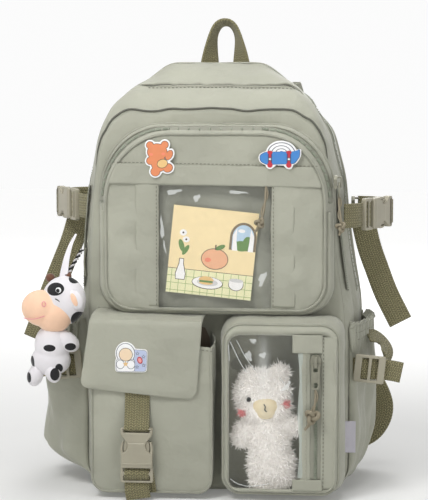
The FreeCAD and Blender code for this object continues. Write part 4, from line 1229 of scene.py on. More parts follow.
def make_flap_pocket():
    low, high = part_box("flap_pocket_body")
    left, right, foot = low.x, high.x, low.z
    root_line = u_path(left + 1 * MM, right - 3 * MM, foot, high.z, high.z - 10 * MM, 12 * MM)
    face_line = u_path(left + 5 * MM, right - 1 * MM, foot + 2 * MM, high.z - 3 * MM,
                       high.z - 20 * MM, 14 * MM)
    rows = []
    for t in np.linspace(0, 1, 14):
        line = root_line * (1 - t) + face_line * t
        depth = FACE_DEPTH - 2 * MM + (POCKET_FACE + 3 * MM - FACE_DEPTH) * t
        places = at_depth(line, depth)
        side = np.clip((line[:, 1] - foot) / 0.05, 0.15, 1)
        puff = (2.4 * MM + 1.8 * MM * folds(places, 0.05, 131, stretch=(1, 1, 3))) * math.sin(math.pi * t)
        rows.append(at_depth(grow_open(line, (puff * side)[:, None]), depth))
    piece = grid_piece("flap_pocket_gusset", rows, sage_cloth, thickness=1.2 * MM)
    sewn(piece, "flap_pocket_body")
    edge = at_depth(face_line, POCKET_FACE + 2.2 * MM)
    piping("flap_pocket_piping", edge, 1.5 * MM, closed=False, seed=15)

    corner = int(np.argmin(face_line[:60, 0] * 0.7 + face_line[:60, 1]))
    left_side = resampled(face_line[corner::-1], 56)
    right_side = resampled(face_line[len(face_line) - 1 - corner:], 56)
    foot_side = resampled(face_line[corner:len(face_line) - corner], 56)
    sheet = []
    for i, t in enumerate(np.linspace(0, 1, 56)):
        row = []
        for k, s in enumerate(np.linspace(0, 1, 56)):
            sag = foot_side[k] - foot_side[0] * (1 - s) - foot_side[-1] * s
            spot = left_side[i] * (1 - s) + right_side[i] * s + sag * (1 - t)
            rim = min(s, 1 - s, t * 1.2)
            dome = 2.4 * MM * smooth(rim / 0.16)
            drag = 1.2 * MM * folds([(spot[0], 0, spot[1])], 0.055, 141, stretch=(1, 1, 1.7))[0]
            drag *= smooth(rim / 0.1)
            row.append((spot[0], POCKET_FACE + 2.0 * MM - dome - drag, spot[1]))
        sheet.append(row)
    sewn(grid_piece("flap_pocket_face", sheet, sage_cloth, thickness=1.2 * MM))
    hem = [(x, y - 0.9 * MM, z - 3.2 * MM) for x, y, z in sheet[-1]]
    sewn(stitches("flap_pocket_hem", hem, (0, -1, 0), thread))
    lining = []
    for t in np.linspace(0, 1, 10):
        x = left + 7 * MM + (right - left - 11 * MM) * t
        lining.append([(x, y, z - 22 * MM * t * (y < -0.08)) for y, z in
                       ((FACE_DEPTH - 3 * MM, 0.168), (FACE_DEPTH - 4 * MM, 0.1), (-0.08, 0.07),
                        (POCKET_FACE + 5 * MM, 0.1), (POCKET_FACE + 4 * MM, 0.162))])
    piece = grid_piece("flap_pocket_lining", lining, lining_cloth)
    soften = piece.modifiers.new("smooth", "SUBSURF")
    soften.levels = soften.render_levels = 1
    on_body(piece, "root", "lining_fabric")


def make_flap():
    """Stiff flap: a doubled sheet with rounded lower corners, edge-stitched, a little askew."""
    low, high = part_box("flap")
    corners = {
        "top_left": array((low.x + 8 * MM, high.z + 0.6 * MM)),
        "top_right": array((high.x + 3 * MM, high.z - 1.2 * MM)),
        "foot_left": array((low.x - 2 * MM, low.z + 10.5 * MM)),
        "foot_right": array((high.x - 2.4 * MM, low.z + 0.4 * MM)),
    }
    radius = 9 * MM
    rows = []
    for t in np.linspace(0, 1, 60):
        left = corners["top_left"] * (1 - t) + corners["foot_left"] * t
        right = corners["top_right"] * (1 - t) + corners["foot_right"] * t
        drop = max(0.0, t * 0.075 - (0.075 - radius))
        inset = radius - math.sqrt(max(0.0, radius ** 2 - drop ** 2))
        row = []
        for s in np.linspace(0, 1, 70):
            spot = left * (1 - s) + right * s
            x = spot[0] + inset * (1 - 2 * s)
            rim = min(s, 1 - s, 1 - t)
            crown = 1.0 * MM * smooth(rim / 0.08) + 1.2 * MM * math.sin(math.pi * s) * math.sin(
                math.pi * t * 0.6)
            roll = 1.6 * MM * smooth((0.06 - t) / 0.06)
            soft = 0.5 * MM * folds([(x, 0, spot[1])], 0.06, 151)[0]
            row.append((x, low.y + 2.4 * MM - crown + roll - soft, spot[1]))
        rows.append(row)
    grid = array(rows)
    piece = grid_piece("flap_cloth", grid, sage_cloth, thickness=2.3 * MM)
    on_body(piece, "flap", "shell_fabric", "flap")
    inner = grid[4:-3, 3:-3]
    border = np.vstack([inner[:, 0], inner[-1, 1:], inner[::-1, -1]])
    border = curve_through(border[::4], 300) + array((0, -0.2 * MM, 0))
    on_body(stitches("flap_stitches", border, (0, -1, 0), pale_thread, radius=0.2 * MM), "flap",
            "shell_fabric")

    top = []
    for s in np.linspace(0, 1, 40):
        start = corners["top_left"] * (1 - s) + corners["top_right"] * s
        line = curve_through([
            (start[0] + 2 * MM, FACE_DEPTH - 2 * MM, start[1] + 5.5 * MM),
            (start[0] + 1 * MM, FACE_DEPTH - 16 * MM, start[1] + 5 * MM),
            (start[0], POCKET_FACE + 12 * MM, start[1] + 2.5 * MM),
            (start[0], POCKET_FACE + 1.0 * MM, start[1] - 0.8 * MM)], 16)
        line[:, 2] += 0.6 * MM * folds(line, 0.04, 157)
        top.append(line)
    piece = grid_piece("flap_root", top, sage_cloth, thickness=1.6 * MM)
    sewn(piece)
    seam = array(top)[:, 0] + array((0, -0.4 * MM, 0.4 * MM))
    sewn(tube("flap_root_seam", seam, 1.2 * MM, sage_edge))


# ---------------------------------------------------------------- buckles

def plate(name, loops, place, thick, bevel, material, turn=None):
    """Flat moulded part with rounded edges, facing -Y before its turn.

    The loops are (x, z) points in millimetres from the place, and thick and bevel are in millimetres.
    """
    thick, bevel = thick * MM, bevel * MM
    curve = bpy.data.curves.new(name, "CURVE")
    curve.dimensions = "2D"
    curve.fill_mode = "BOTH"
    curve.extrude = thick / 2 - bevel
    curve.bevel_depth = bevel
    curve.bevel_resolution = 2
    curve.offset = -bevel
    for loop in loops:
        spline = curve.splines.new("POLY")
        spline.points.add(len(loop) - 1)
        for point, (x, z) in zip(spline.points, loop):
            point.co = (x * MM, z * MM, 0, 1)
        spline.use_cyclic_u = True
    holder = bpy.data.objects.new(name, curve)
    bpy.context.scene.collection.objects.link(holder)
    bpy.context.view_layer.update()
    mesh = bpy.data.meshes.new_from_object(holder.evaluated_get(
        bpy.context.evaluated_depsgraph_get()))
    bpy.data.objects.remove(holder)
    bpy.data.curves.remove(curve)
    spin = turn or Matrix.Identity(4)
    mesh.transform(Matrix.Translation(place) @ spin @ Matrix.Rotation(math.pi / 2, 4, "X"))
    mesh.materials.clear()
    mesh.materials.append(material)
    piece = bpy.data.objects.new(name, mesh)
    bpy.context.scene.collection.objects.link(piece)
    merged = piece.modifiers.new("weld", "WELD")
    merged.merge_threshold = 0.02 * MM
    smooth_shaded(mesh)
    edge = piece.modifiers.new("edges", "WEIGHTED_NORMAL")
    edge.keep_sharp = True
    return piece


def rounded(points, radius):
    """Closed polygon with each corner replaced by an arc-like curve."""
    points = array(points)
    out = []
    for k, corner in enumerate(points):
        before = points[k - 1] - corner
        after = points[(k + 1) % len(points)] - corner
        reach = min(radius, 0.45 * np.linalg.norm(before), 0.45 * np.linalg.norm(after))
        start = corner + unit(before) * reach
        end = corner + unit(after) * reach
        for t in np.linspace(0, 1, 5):
            out.append((1 - t) ** 2 * start + 2 * t * (1 - t) * corner + t ** 2 * end)
    return [tuple(p) for p in out]


def rectangle(half_x, half_z, x=0.0, z=0.0):
    return [(x - half_x, z - half_z), (x + half_x, z - half_z), (x + half_x, z + half_z),
            (x - half_x, z + half_z)]


def flipped(side, points):
    return [(side * x, z) for x, z in points]


def make_socket(name, place, turn, tone):
    """Female half of a side-release buckle: waisted housing, rails and the webbing bars below."""
    def part(loops, thick, bevel, label="part"):
        return plate(label, loops, place, thick, bevel, tone, turn)

    half = [(15.2, 14), (15.6, 17.5), (15.6, 27.5), (14.4, 29), (10.6, 31.4), (8.8, 35), (9.0, 39.5)]
    body = part([rounded(flipped(-1, half) + half[::-1], 1.6)], 8.6, 1.2, name)
    ladder = [rounded(rectangle(16.2, 8.4, z=7.6), 2.4), rounded(rectangle(13.2, 2.1, z=12.2), 0.8),
              rounded(rectangle(13.2, 2.4, z=3.6), 0.8)]
    rail = [(15.6, 26), (16.2, 31), (15.9, 36.5), (14.2, 40), (12.6, 40), (13.6, 36), (13.8, 31.5),
            (12.5, 28.6)]
    parts = [body, part(ladder, 5.4, 0.9), part([rounded(rectangle(14.9, 0.9, z=18.2), 0.7)], 9.4, 0.5)]
    parts += [part([rounded(flipped(side, rail), 1)], 6.4, 0.8) for side in (-1, 1)]
    return joined(name, parts)


def make_plug(name, place, turn, tone):
    """Male half: bar for the webbing, tapering neck and two sprung prongs with finger tabs."""
    half = [(15.6, 14), (16, 11), (15.6, 7), (12.8, 3.6), (9.4, -1.2), (8.4, -5.8)]
    loops = [rounded(flipped(-1, half) + half[::-1], 1.4), rounded(rectangle(12.9, 1.3, z=10.9), 0.8)]
    arm = [(8.4, -1), (11.8, 1.2), (13.0, -4.5), (12.8, -9.5), (11.0, -13.6), (8.6, -14), (9.6, -9)]
    parts = [plate(name, loops, place, 7.6, 1.2, tone, turn)]
    parts += [plate("prong", [rounded(flipped(side, arm), 1.2)], place, 4.2, 0.8, tone, turn)
              for side in (-1, 1)]
    return joined(name, parts)


def make_flap_buckle():
    low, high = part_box("flap_buckle_socket")
    middle = (low.x + high.x) / 2
    depth = (low.y + high.y) / 2 - 0.2 * MM
    on_body(make_socket("flap_socket_moulding", (middle, depth, low.z), None, taupe_plastic),
            "flap_socket", "buckle_plastic", "flap_buckle_socket")
    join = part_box("flap_buckle_plug")[1].z - 12 * MM
    on_body(make_plug("flap_plug_moulding", (middle, depth, join), None, taupe_plastic), "flap",
            "buckle_plastic", "flap_buckle_plug")

    def band(name, body, width, thick, count, points, *nodes, across=(1, 0, 0)):
        """Webbing of the buckle through (x, y, z) points in millimetres from its middle and a height."""
        base, offsets = points
        line = [(middle + x * MM, depth + y * MM, base + z * MM) for x, y, z in offsets]
        webbing(name, line, across, width, thick, body, *nodes, count=count)

    band("flap_strap_webbing", "flap", 25, 1.5, 60, (join, [
        (0, 4.6, 9), (0, 0.6, 10.6), (0, -3.4, 14), (0, 2.2, 26), (0, 5.2, 38), (0, 7.0, 50)]),
        "flap_strap")
    band("flap_strap_return", "flap", 24.6, 1.3, 30, (join, [(0, 4.8, 9), (0, 5.6, 18), (0, 6.6, 32)]))
    band("flap_tail_webbing", "flap_socket", 25, 1.5, 60, (low.z, [
        (0, 4.4, 13), (0, 0.4, 12.6), (0, -3.2, 8.6), (0, -1.4, 4.2), (0, 1.0, 0.6), (0, 0.2, -8),
        (1.5, 1.4, -17.6)]), across=(1, 0.05, 0))
    band("flap_anchor_webbing", "root", 25, 1.4, 30, (low.z, [
        (3, 4.6, 14), (5, 6.2, -2), (6.5, 7.2, -13)]), "flap_strap_lower")


SIDE_TAILS = {  # the webbing left over behind each side plug, hanging past the bag's flank
    "left": [(-0.1480, 0.004, 0.274), (-0.1570, 0.008, 0.246), (-0.1670, 0.011, 0.222),
             (-0.1810, 0.012, 0.188), (-0.1985, 0.013, 0.142)],
    "right": [(0.144, 0.006, 0.272), (0.1510, 0.008, 0.243), (0.1590, 0.011, 0.220),
              (0.1690, 0.012, 0.194), (0.1840, 0.013, 0.164)],
}


def make_side_buckles():
    """Compression straps: webbing, buckle and hanging tail on each side of the bag."""
    heading = math.radians(62)  # of the strap, from straight out to straight back
    for side, name in SIDES:
        plug_node = f"side_plug_{name}"
        middle_z = middle_of(plug_node)[2]
        way = array((side * math.cos(heading), math.sin(heading), 0))
        start = array((side * 145.8 * MM, -28.2 * MM, middle_z))
        # local +Z of the buckle runs along the strap and its face looks outwards
        outward = unit(np.cross(way, (0, 0, 1)) * side)
        right = np.cross(-outward, way)
        turn = Matrix([(*row, 0) for row in np.stack([right, -outward, way], axis=1)] + [(0, 0, 0, 1)])
        socket = make_socket(f"side_socket_{name}_moulding", tuple(start), turn, taupe_plastic)
        on_body(socket, "root", "buckle_plastic", "side_sockets")
        plug = make_plug(f"{plug_node}_moulding", tuple(start + way * 40 * MM), turn, taupe_plastic)
        on_body(plug, plug_node, "buckle_plastic", plug_node)
        webbing(f"side_webbing_{name}_band", [
            (side * 0.1265, -0.0485, middle_z), (side * 0.134, -0.0425, middle_z),
            (side * 0.1405, -0.0352, middle_z), tuple(start + way * 4 * MM - outward * 2 * MM),
            tuple(start + way * 8 * MM + outward * 2.4 * MM),
            tuple(start + way * 12 * MM - outward * 1.6 * MM)], (0, 0, 1), 25, 1.5, "root",
            "side_webbing")
        base = start + way * 51 * MM
        webbing(f"side_rear_{name}_band", [
            tuple(base - outward * 3.6 * MM), tuple(base + way * 2 * MM + outward * 0.6 * MM),
            tuple(base + way * 6 * MM + outward * 2.2 * MM), (side * 0.1695, 0.033, middle_z),
            (side * 0.156, 0.0515, middle_z), (side * 0.1385, 0.0585, middle_z)], (0, 0, 1), 25, 1.5,
            plug_node, f"side_tail_{name}")
        across = unit(array((0.93, 0.12 * side, 0.34 * side)))
        webbing(f"side_tail_{name}_band", SIDE_TAILS[name], across, 25, 1.5, plug_node)


def make_pocket_locks():
    """Ladder lock and short strap sewn at the mouth of each side pocket."""
    middle_z = middle_of("side_locks")[2]
    for side, name in SIDES:
        def band(label, width, thick, count, across, points, *nodes):
            """Webbing through (x, y) in metres and a rise in millimetres from the lock's middle."""
            line = [(side * x, y, middle_z + rise * MM) for x, y, rise in points]
            webbing(f"side_lock_{label}_{name}", line, across, width, thick, "root", *nodes, count=count)

        loops = [rounded(rectangle(15.4, 14), 2.6), rounded(rectangle(3.3, 11, x=-4.9), 0.8),
                 rounded(rectangle(3.3, 11, x=4.9), 0.8)]
        lock = plate(f"side_lock_{name}_moulding", loops, (side * 0.153, -0.0548, middle_z), 4.0, 0.9,
                     taupe_plastic, Matrix.Rotation(math.radians(6 * side), 4, "Y"))
        on_body(lock, "root", "buckle_plastic", "side_locks")
        band("strap", 22, 1.5, 90, (0, 0, 1), [
            (0.1340, -0.0500, 0), (0.1440, -0.0525, 0), (0.1490, -0.0533, 0), (0.1525, -0.0522, 0),
            (0.1560, -0.0533, 0), (0.1600, -0.0515, 0), (0.1650, -0.0460, 0), (0.1702, -0.0330, 1),
            (0.1690, -0.0190, 2)], "pocket_straps")
        band("tail", 21, 1.4, 40, (0, 0.1, 1), [
            (0.1590, -0.0512, 0), (0.1680, -0.0505, -1), (0.1770, -0.0490, -2.5), (0.1850, -0.0470, -4.5)])
        band("loop", 21, 1.4, 50, (0.2 * side, 0.9, 0.3), [
            (0.1640, -0.0440, 1), (0.1680, -0.0300, 8), (0.1690, -0.0150, 17), (0.1610, -0.0120, 26),
            (0.1500, -0.0200, 30)])


# ---------------------------------------------------------------- right pocket with its window

def make_window_pocket():
    low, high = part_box("window_pocket_gusset")
    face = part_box("window_pocket_front")[0].y
    root_loop = rectangle_loop(low.x + 1 * MM, high.x + 1 * MM, low.z - 1 * MM, high.z + 2 * MM, 16 * MM)
    face_loop = rectangle_loop(low.x + 3.5 * MM, high.x - 4 * MM, low.z + 3 * MM, high.z - 4 * MM,
                               17 * MM)
    piece = grid_piece("window_pocket_wall", loft(root_loop, face_loop, (FACE_DEPTH - 2 * MM,
                                                                       face + 4 * MM),
                                                  3.2 * MM, 171, rows=16, fold=1.6 * MM), sage_cloth,
                       closed=True, thickness=1.0 * MM)
    sewn(piece, "window_pocket_gusset")
    piping("window_pocket_piping", at_depth(grow_loop(face_loop, 0.8 * MM), face + 3.6 * MM), 1.6 * MM,
           seed=19)
    panel_near, panel_far = 0.083, 0.1245  # the zip's panel beside the window
    inner = rectangle_loop(0.0155, 0.1175, 0.0125, 0.1655, 8 * MM, (12 * MM, 10 * MM))
    bridge("window_border", "window_pocket_front", at_depth(face_loop, face + 3.4 * MM),
           at_depth(inner, face + 1.2 * MM), rows=14, dome=3.8 * MM, fold=1.4 * MM, seed=177)
    depth = face - 0.6 * MM
    zip_low, zip_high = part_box("window_zip")
    near_zip, far_zip = zip_low.x, zip_high.x
    for label, left, right, bottom, top, seed in (
            ("near", panel_near + 2.5 * MM, near_zip + 0.8 * MM, zip_low.z - 4 * MM,
             zip_high.z + 2 * MM, 181),
            ("far", far_zip - 1.0 * MM, panel_far - 3 * MM, 0.0135, 0.1645, 183)):
        band_sheet(f"window_zip_facing_{label}", left, right, bottom, top, depth + 0.6 * MM, seed,
                   wave=0.5 * MM, dome=0.9 * MM)
    for label, bottom, top, seed in (("high", zip_high.z - 0.5 * MM, 0.1665, 185),
                                     ("low", 0.0115, zip_low.z + 0.5 * MM, 187)):
        band_sheet(f"window_zip_cap_{label}", panel_near - 5 * MM, far_zip + 1 * MM, bottom, top,
                   depth - 0.2 * MM, seed, dome=1.0 * MM, rows=20)
    line = [(far_zip + 1.6 * MM, depth - 0.7 * MM, z) for z in np.linspace(0.016, 0.163, 60)]
    sewn(stitches("window_zip_stitches", line, (0, -1, 0), thread))
    line = [(near_zip - 3.4 * MM, depth - 0.9 * MM, z)
            for z in np.linspace(zip_low.z, zip_high.z, 60)]
    sewn(stitches("window_strip_stitches", line, (0, -1, 0), pale_thread))
    middle = (near_zip + far_zip) / 2
    path = [(middle, face + 0.4 * MM, z) for z in np.linspace(zip_low.z, zip_high.z, 60)]
    zip_line("window_zip", path, (0, -1, 0), "window_zip", tape_width=11.5 * MM, coil=3.6 * MM)
    rows = soft_sheet(np.linspace(0.013, 0.0875, 50), np.linspace(0.010, 0.168, 60), face - 0.2 * MM,
                      0.045, 191, 0.45 * MM)
    on_body(grid_piece("lower_window_sheet", rows, vinyl), "root", "vinyl", "window_lower")
    back = soft_sheet(np.linspace(0.011, 0.121, 40), np.linspace(0.008, 0.172, 40),
                      FACE_DEPTH - 4.0 * MM, 0.05, 193, -1.2 * MM)
    on_body(grid_piece("window_pocket_lining", back, inner_cloth), "root", "lining_fabric")
    make_window_crease_highlights(face)


def make_window_crease_highlights(face):
    """Raised folds coloured white as painted highlights, painted highlight patches and a paler strip of
    film, on the clear sheet.
    """
    depth = face - 0.9 * MM
    parts = []
    for points, radius in (
            ([(0.0165, 0.1595), (0.0270, 0.1380), (0.0330, 0.1290)], 0.45),
            ([(0.0230, 0.1605), (0.0330, 0.1420), (0.0420, 0.1310)], 0.4),
            ([(0.0150, 0.1560), (0.0158, 0.1460), (0.0160, 0.1400)], 0.5),
            ([(0.0170, 0.0220), (0.0250, 0.0170), (0.0380, 0.0150), (0.0560, 0.0180)], 0.4),
            ([(0.0660, 0.1240), (0.0740, 0.1130), (0.0790, 0.1070)], 0.35)):
        path = curve_through([(x, depth, z) for x, z in points], 24)
        # white raised folds: real fold shapes coloured as painted highlights
        parts.append(tube("crease", path, radius * MM, glint_film, sides=6))
    # painted highlight patches
    for x, z, width, height, lean in (
            (0.0395, 0.1600, 0.0075, 0.0042, -0.6), (0.0490, 0.1460, 0.0062, 0.0064, 0.4),
            (0.0350, 0.1450, 0.0060, 0.0110, 0.55), (0.0720, 0.1150, 0.0050, 0.0120, -0.7)):
        parts.append(glint(x, depth, z, width, height, lean))
    strip = []
    for z in np.linspace(0.024, 0.151, 60):
        half = 3.2 * MM * (0.72 + 0.28 * math.sin(z * 90))
        strip.append([(0.0865 - half, depth, z), (0.0865 + half * 0.7, depth, z)])
    parts.append(grid_piece("strip", strip, strip_film))
    on_body(joined("lower_window_crease_highlights", parts), "root", "vinyl")


# ---------------------------------------------------------------- side pockets

def shell_side(side, depth, height):
    """How far out the shell stands at a depth and height on one side."""
    depths = (FACE_DEPTH, SLIT_DEPTH, RIDGE_DEPTH, REAR_DEPTH)
    reaches = []
    for loop in (SEAM_LOOP, SLIT_LOOP, RIDGE_LOOP, REAR_LOOP):
        flank = loop[loop[:, 0] * side > 0]
        order = np.argsort(flank[:, 1])
        reaches.append(abs(float(np.interp(height, flank[order, 1], flank[order, 0]))))
    return float(np.interp(depth, depths, reaches)) + 3.0 * MM


# how far each side pocket bulges, and how quickly it swells above its foot
POCKET_SHAPES = {"left": (40 * MM, 0.18, 0.55), "right": (12 * MM, 0.30, 0.75)}


def make_side_pocket(side, name):
    """Bellows pocket of soft cloth, gathered along its elastic mouth and puckered down its folds."""
    low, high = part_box(f"side_pocket_{name}")
    reach, foot_share, foot_power = POCKET_SHAPES[name]
    front, back = low.y - 6 * MM, high.y
    foot_z = low.z + 7 * MM
    count = 90
    rows = []
    for t in np.linspace(0, 1, count):
        z = foot_z + (high.z - foot_z) * t
        foot = smooth(t / foot_share) ** foot_power
        mouth = smooth((t - 0.70) / 0.24)
        row = []
        for s in np.linspace(0, 1, 150):
            y = front + (back - front) * (0.5 - 0.5 * math.copysign(
                abs(math.cos(math.pi * s)) ** 0.8, math.cos(math.pi * s)))
            depth = math.sin(math.pi * s) ** 0.5 if 0 < s < 1 else 0.0
            gather = math.sin(s * TAU * 15 + 1.6 * math.sin(t * 7)) * (0.15 + 0.85 * mouth)
            drape = folds([(0, y, z)], 0.036, 201 + side, stretch=(1, 1, 4.5))[0]
            out = reach * (0.16 + 0.84 * foot - 0.22 * mouth) * depth
            soft = gather * 3.4 * MM * mouth + drape * (0.11 * reach + 2.6 * MM) * (1 - 0.5 * mouth)
            out += soft * min(1, depth * 1.5)
            y += gather * 1.6 * MM * mouth
            lift = gather * 3.0 * MM * smooth((t - 0.93) / 0.07)
            base = shell_side(side, y, z)
            row.append((side * (base + max(-0.5 * MM, out)), y, z + lift))
        rows.append(row)
    if side < 0:
        rows = [row[::-1] for row in rows]
    piece = grid_piece(f"side_pocket_{name}_cloth", rows, sage_cloth, thickness=1.3 * MM)
    sewn(piece, f"side_pocket_{name}")
    for step, drop in enumerate((1.0, 9.0, 16.0)):
        index = int((count - 1) * (1 - drop / 165))
        ring = curve_through(array(rows[index])[2:-2:3], 300) + array((side * 0.5 * MM, 0, 0))
        if step == 0:
            sewn(tube(f"side_pocket_{name}_hem", ring, 1.6 * MM, sage_edge))
        else:
            sewn(stitches(f"side_pocket_{name}_shirring_{step}", ring, (side, 0, 0), thread,
                          radius=0.22 * MM))


# ---------------------------------------------------------------- handle, shoulder straps and back

def make_handle():
    low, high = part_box("grab_handle")
    middle_y = (low.y + high.y) / 2
    half = high.x - 2 * MM
    lean = half * 0.66
    rise = high.z - low.z - 3 * MM
    right = [(1.06, -12 * MM), (1.0, 2 * MM), (0.93, 0.36 * rise), (0.80, 0.66 * rise),
             (0.56, 0.88 * rise), (0.22, 0.99 * rise)]
    arch = [(-share * lean, height) for share, height in right]
    arch += [(share * lean, height) for share, height in reversed(right)]
    path = curve_through([(x, middle_y, low.z + height) for x, height in arch], 140)
    turn = np.abs(np.linspace(-1, 1, len(path)))
    facing = 0.34 + 0.56 * smooth((turn - 0.25) / 0.65)
    way = tangents(path)
    outward = np.stack([-way[:, 2], np.zeros(len(path)), way[:, 0]], axis=1)
    across = outward * facing[:, None] + np.outer(np.sqrt(1 - facing ** 2), (0, -1, 0))
    band = ribbon("handle_webbing", path, across, 21 * MM, 2.2 * MM, olive_webbing)
    on_body(band, "handle", "webbing", "grab_handle")
    for side in (-1, 1):
        seat = [(side * lean + x, middle_y - 2 * MM, low.z - 3.0 * MM)
                for x in np.linspace(-9 * MM, 9 * MM, 12)]
        sewn(tube(f"handle_seat_{side + 1}", seat, 1.5 * MM, sage_edge))


def strap_section(width, thick):
    """Across a shoulder strap: a flat bound edge each side of a plump padded middle."""
    top, under = [], []
    for s in np.linspace(-1, 1, 36):
        edge = smooth((1 - abs(s)) / 0.30)
        plump = thick / 2 * (0.30 + 0.70 * edge)
        top.append((s * width / 2, plump))
        under.append((-s * width / 2, -plump * 0.72))
    return top + under


def make_shoulder_strap(side, name):
    route = curve_through([
        (0.0700, 0.4045), (0.0765, 0.4035), (0.0850, 0.3980), (0.0925, 0.3840), (0.0965, 0.3500),
        (0.0970, 0.3100), (0.0950, 0.2700), (0.0905, 0.2320), (0.0862, 0.2060)], 90)
    fan = math.radians(11)
    pivot = 0.404
    middle = 0.052
    width, thick = 56 * MM, 9.5 * MM
    rings = []
    for k, (y, z) in enumerate(route):
        t = k / (len(route) - 1)
        ahead = route[min(k + 1, len(route) - 1)] - route[max(k - 1, 0)]
        ahead = unit(ahead)
        out = array((-ahead[1], ahead[0]))
        end = smooth(t / 0.05) * smooth((1 - t) / 0.05)
        slim = (0.90 + 0.10 * math.sin(math.pi * t)) * (1 - 0.45 * smooth((t - 0.86) / 0.14))
        ring = []
        for x, lift in strap_section(width * slim, thick):
            ribs = 1 + 0.05 * folds([(x, y, z)], 0.03, 231)[0]
            swell = lift * (0.35 + 0.65 * end) * ribs
            ring.append((x, y - out[0] * swell, z - out[1] * swell))
        ring = array(ring)
        rise = ring[:, 2] - pivot
        x = side * middle + ring[:, 0] * math.cos(fan) - side * rise * math.sin(fan)
        z = pivot + rise * math.cos(fan) + side * ring[:, 0] * math.sin(fan)
        rings.append(np.stack([x, ring[:, 1], z], axis=1))
    rings = array(rings)
    columns = rings.shape[1]
    verts = rings.reshape(-1, 3)
    faces = grid_faces(len(rings), columns, closed_columns=True)
    faces.append(tuple(range(columns)))
    faces.append(tuple(range((len(rings) - 1) * columns, len(rings) * columns))[::-1])
    pad = mesh_piece(f"shoulder_strap_{name}_pad", verts, faces, sage_cloth)
    on_body(pad, f"strap_{name}", "shell_fabric", f"shoulder_strap_{name}")
    half = columns // 2
    for label, first, second in (("near", 3, 4), ("far", half - 4, half - 5)):
        edge = rings[:, first] * 0.5 + rings[:, second] * 0.5 + array((0, 0.4 * MM, 0))
        on_body(stitches(f"strap_{name}_stitches_{label}", edge, (0, 1, 0), thread), f"strap_{name}",
                "shell_fabric")
    centre = rings[12:70, columns // 4] + array((0, 0.9 * MM, 0))
    web = ribbon(f"strap_{name}_band", centre, (1, 0, side * 0.19), 22 * MM, 1.4 * MM, olive_webbing)
    on_body(web, f"strap_{name}", "webbing")
    place = tuple(middle_of(f"ladder_lock_{name}"))
    loops = [rounded(rectangle(16.6, 11.6), 2.6), rounded(rectangle(13, 2.9, z=5.6), 0.8),
             rounded(rectangle(13, 2.9, z=-5.2), 0.8)]
    lock = plate(f"ladder_lock_{name}_moulding", loops, place, 5.6, 1.1, taupe_plastic,
                 Matrix.Rotation(math.radians(-11 * side), 4, "Y"))
    on_body(lock, f"strap_{name}", "buckle_plastic", f"ladder_lock_{name}")
    end = rings[-1].mean(axis=0)
    webbing(f"strap_{name}_end_band", [
        tuple(end + array((0, 1 * MM, 4 * MM))), tuple(end + array((0, 0, -4 * MM))),
        (place[0], place[1] + 0.4 * MM, place[2] + 8.5 * MM),
        (place[0], place[1] - 3.6 * MM, place[2] + 4.5 * MM),
        tuple(end + array((0, -4 * MM, 2 * MM)))], (1, 0, side * 0.19), 24, 1.5, f"strap_{name}",
        count=40)


def make_lower_webbing():
    """Lower strap webbing from the hip tabs up to the ladder locks."""
    for side, name in SIDES:
        path = curve_through(mirrored(side, [
            (0.0990, 0.0790, 0.1770), (0.1010, 0.0770, 0.1660), (0.1220, 0.0755, 0.1310),
            (0.1490, 0.0760, 0.1000), (0.1650, 0.0760, 0.0660), (0.1560, 0.0750, 0.0400),
            (0.1300, 0.0720, 0.0250)]), 90)
        across = np.cross(tangents(path), (0, 1, 0))
        band = ribbon(f"lower_strap_{name}_band", path, across, 25 * MM, 1.5 * MM, olive_webbing)
        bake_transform(band)
        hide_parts("strap_webbing")
        tab = []
        for t in np.linspace(0, 1, 16):
            x = side * (0.104 + 0.034 * t)
            half = 15 * MM * (1 - 0.55 * t)
            tab.append([(x, REAR_DEPTH + 4 * MM + 9 * MM * smooth(1 - abs(2 * t - 1) * 0.6)
                         - 1.5 * MM * abs(s), 0.0235 + half * s) for s in np.linspace(-1, 1, 14)])
        piece = grid_piece(f"hip_tab_{name}", tab, sage_cloth, thickness=2.2 * MM)
        sewn(piece)


def make_laptop_sleeve():
    """Open pocket of lining cloth against the back, with a folded top hem."""
    low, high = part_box("laptop_sleeve")
    middle, half = (low.x + high.x) / 2, (high.x - low.x) / 2 - 1.5 * MM
    thick = high.y - low.y
    rows = []
    for z in np.linspace(low.z + 1 * MM, high.z - 1.5 * MM, 50):
        row = []
        for t in np.linspace(0, 1, 60):
            turn = math.sin(math.pi * t) ** 0.4 if 0 < t < 1 else 0.0
            soft = folds([(t * 0.2, 0, z)], 0.07, 301)[0] * 0.12 * thick
            depth = high.y - 0.2 * thick - turn * (0.55 * thick + soft)
            row.append((middle + half * (2 * t - 1), depth, z))
        rows.append(row)
    on_body(grid_piece("laptop_sleeve_cloth", rows, lining_cloth, thickness=0.8 * MM), "root",
            "lining_fabric", "laptop_sleeve")
    on_body(tube("laptop_sleeve_hem", array(rows[-1]), 0.9 * MM, sage_edge), "root", "lining_fabric")


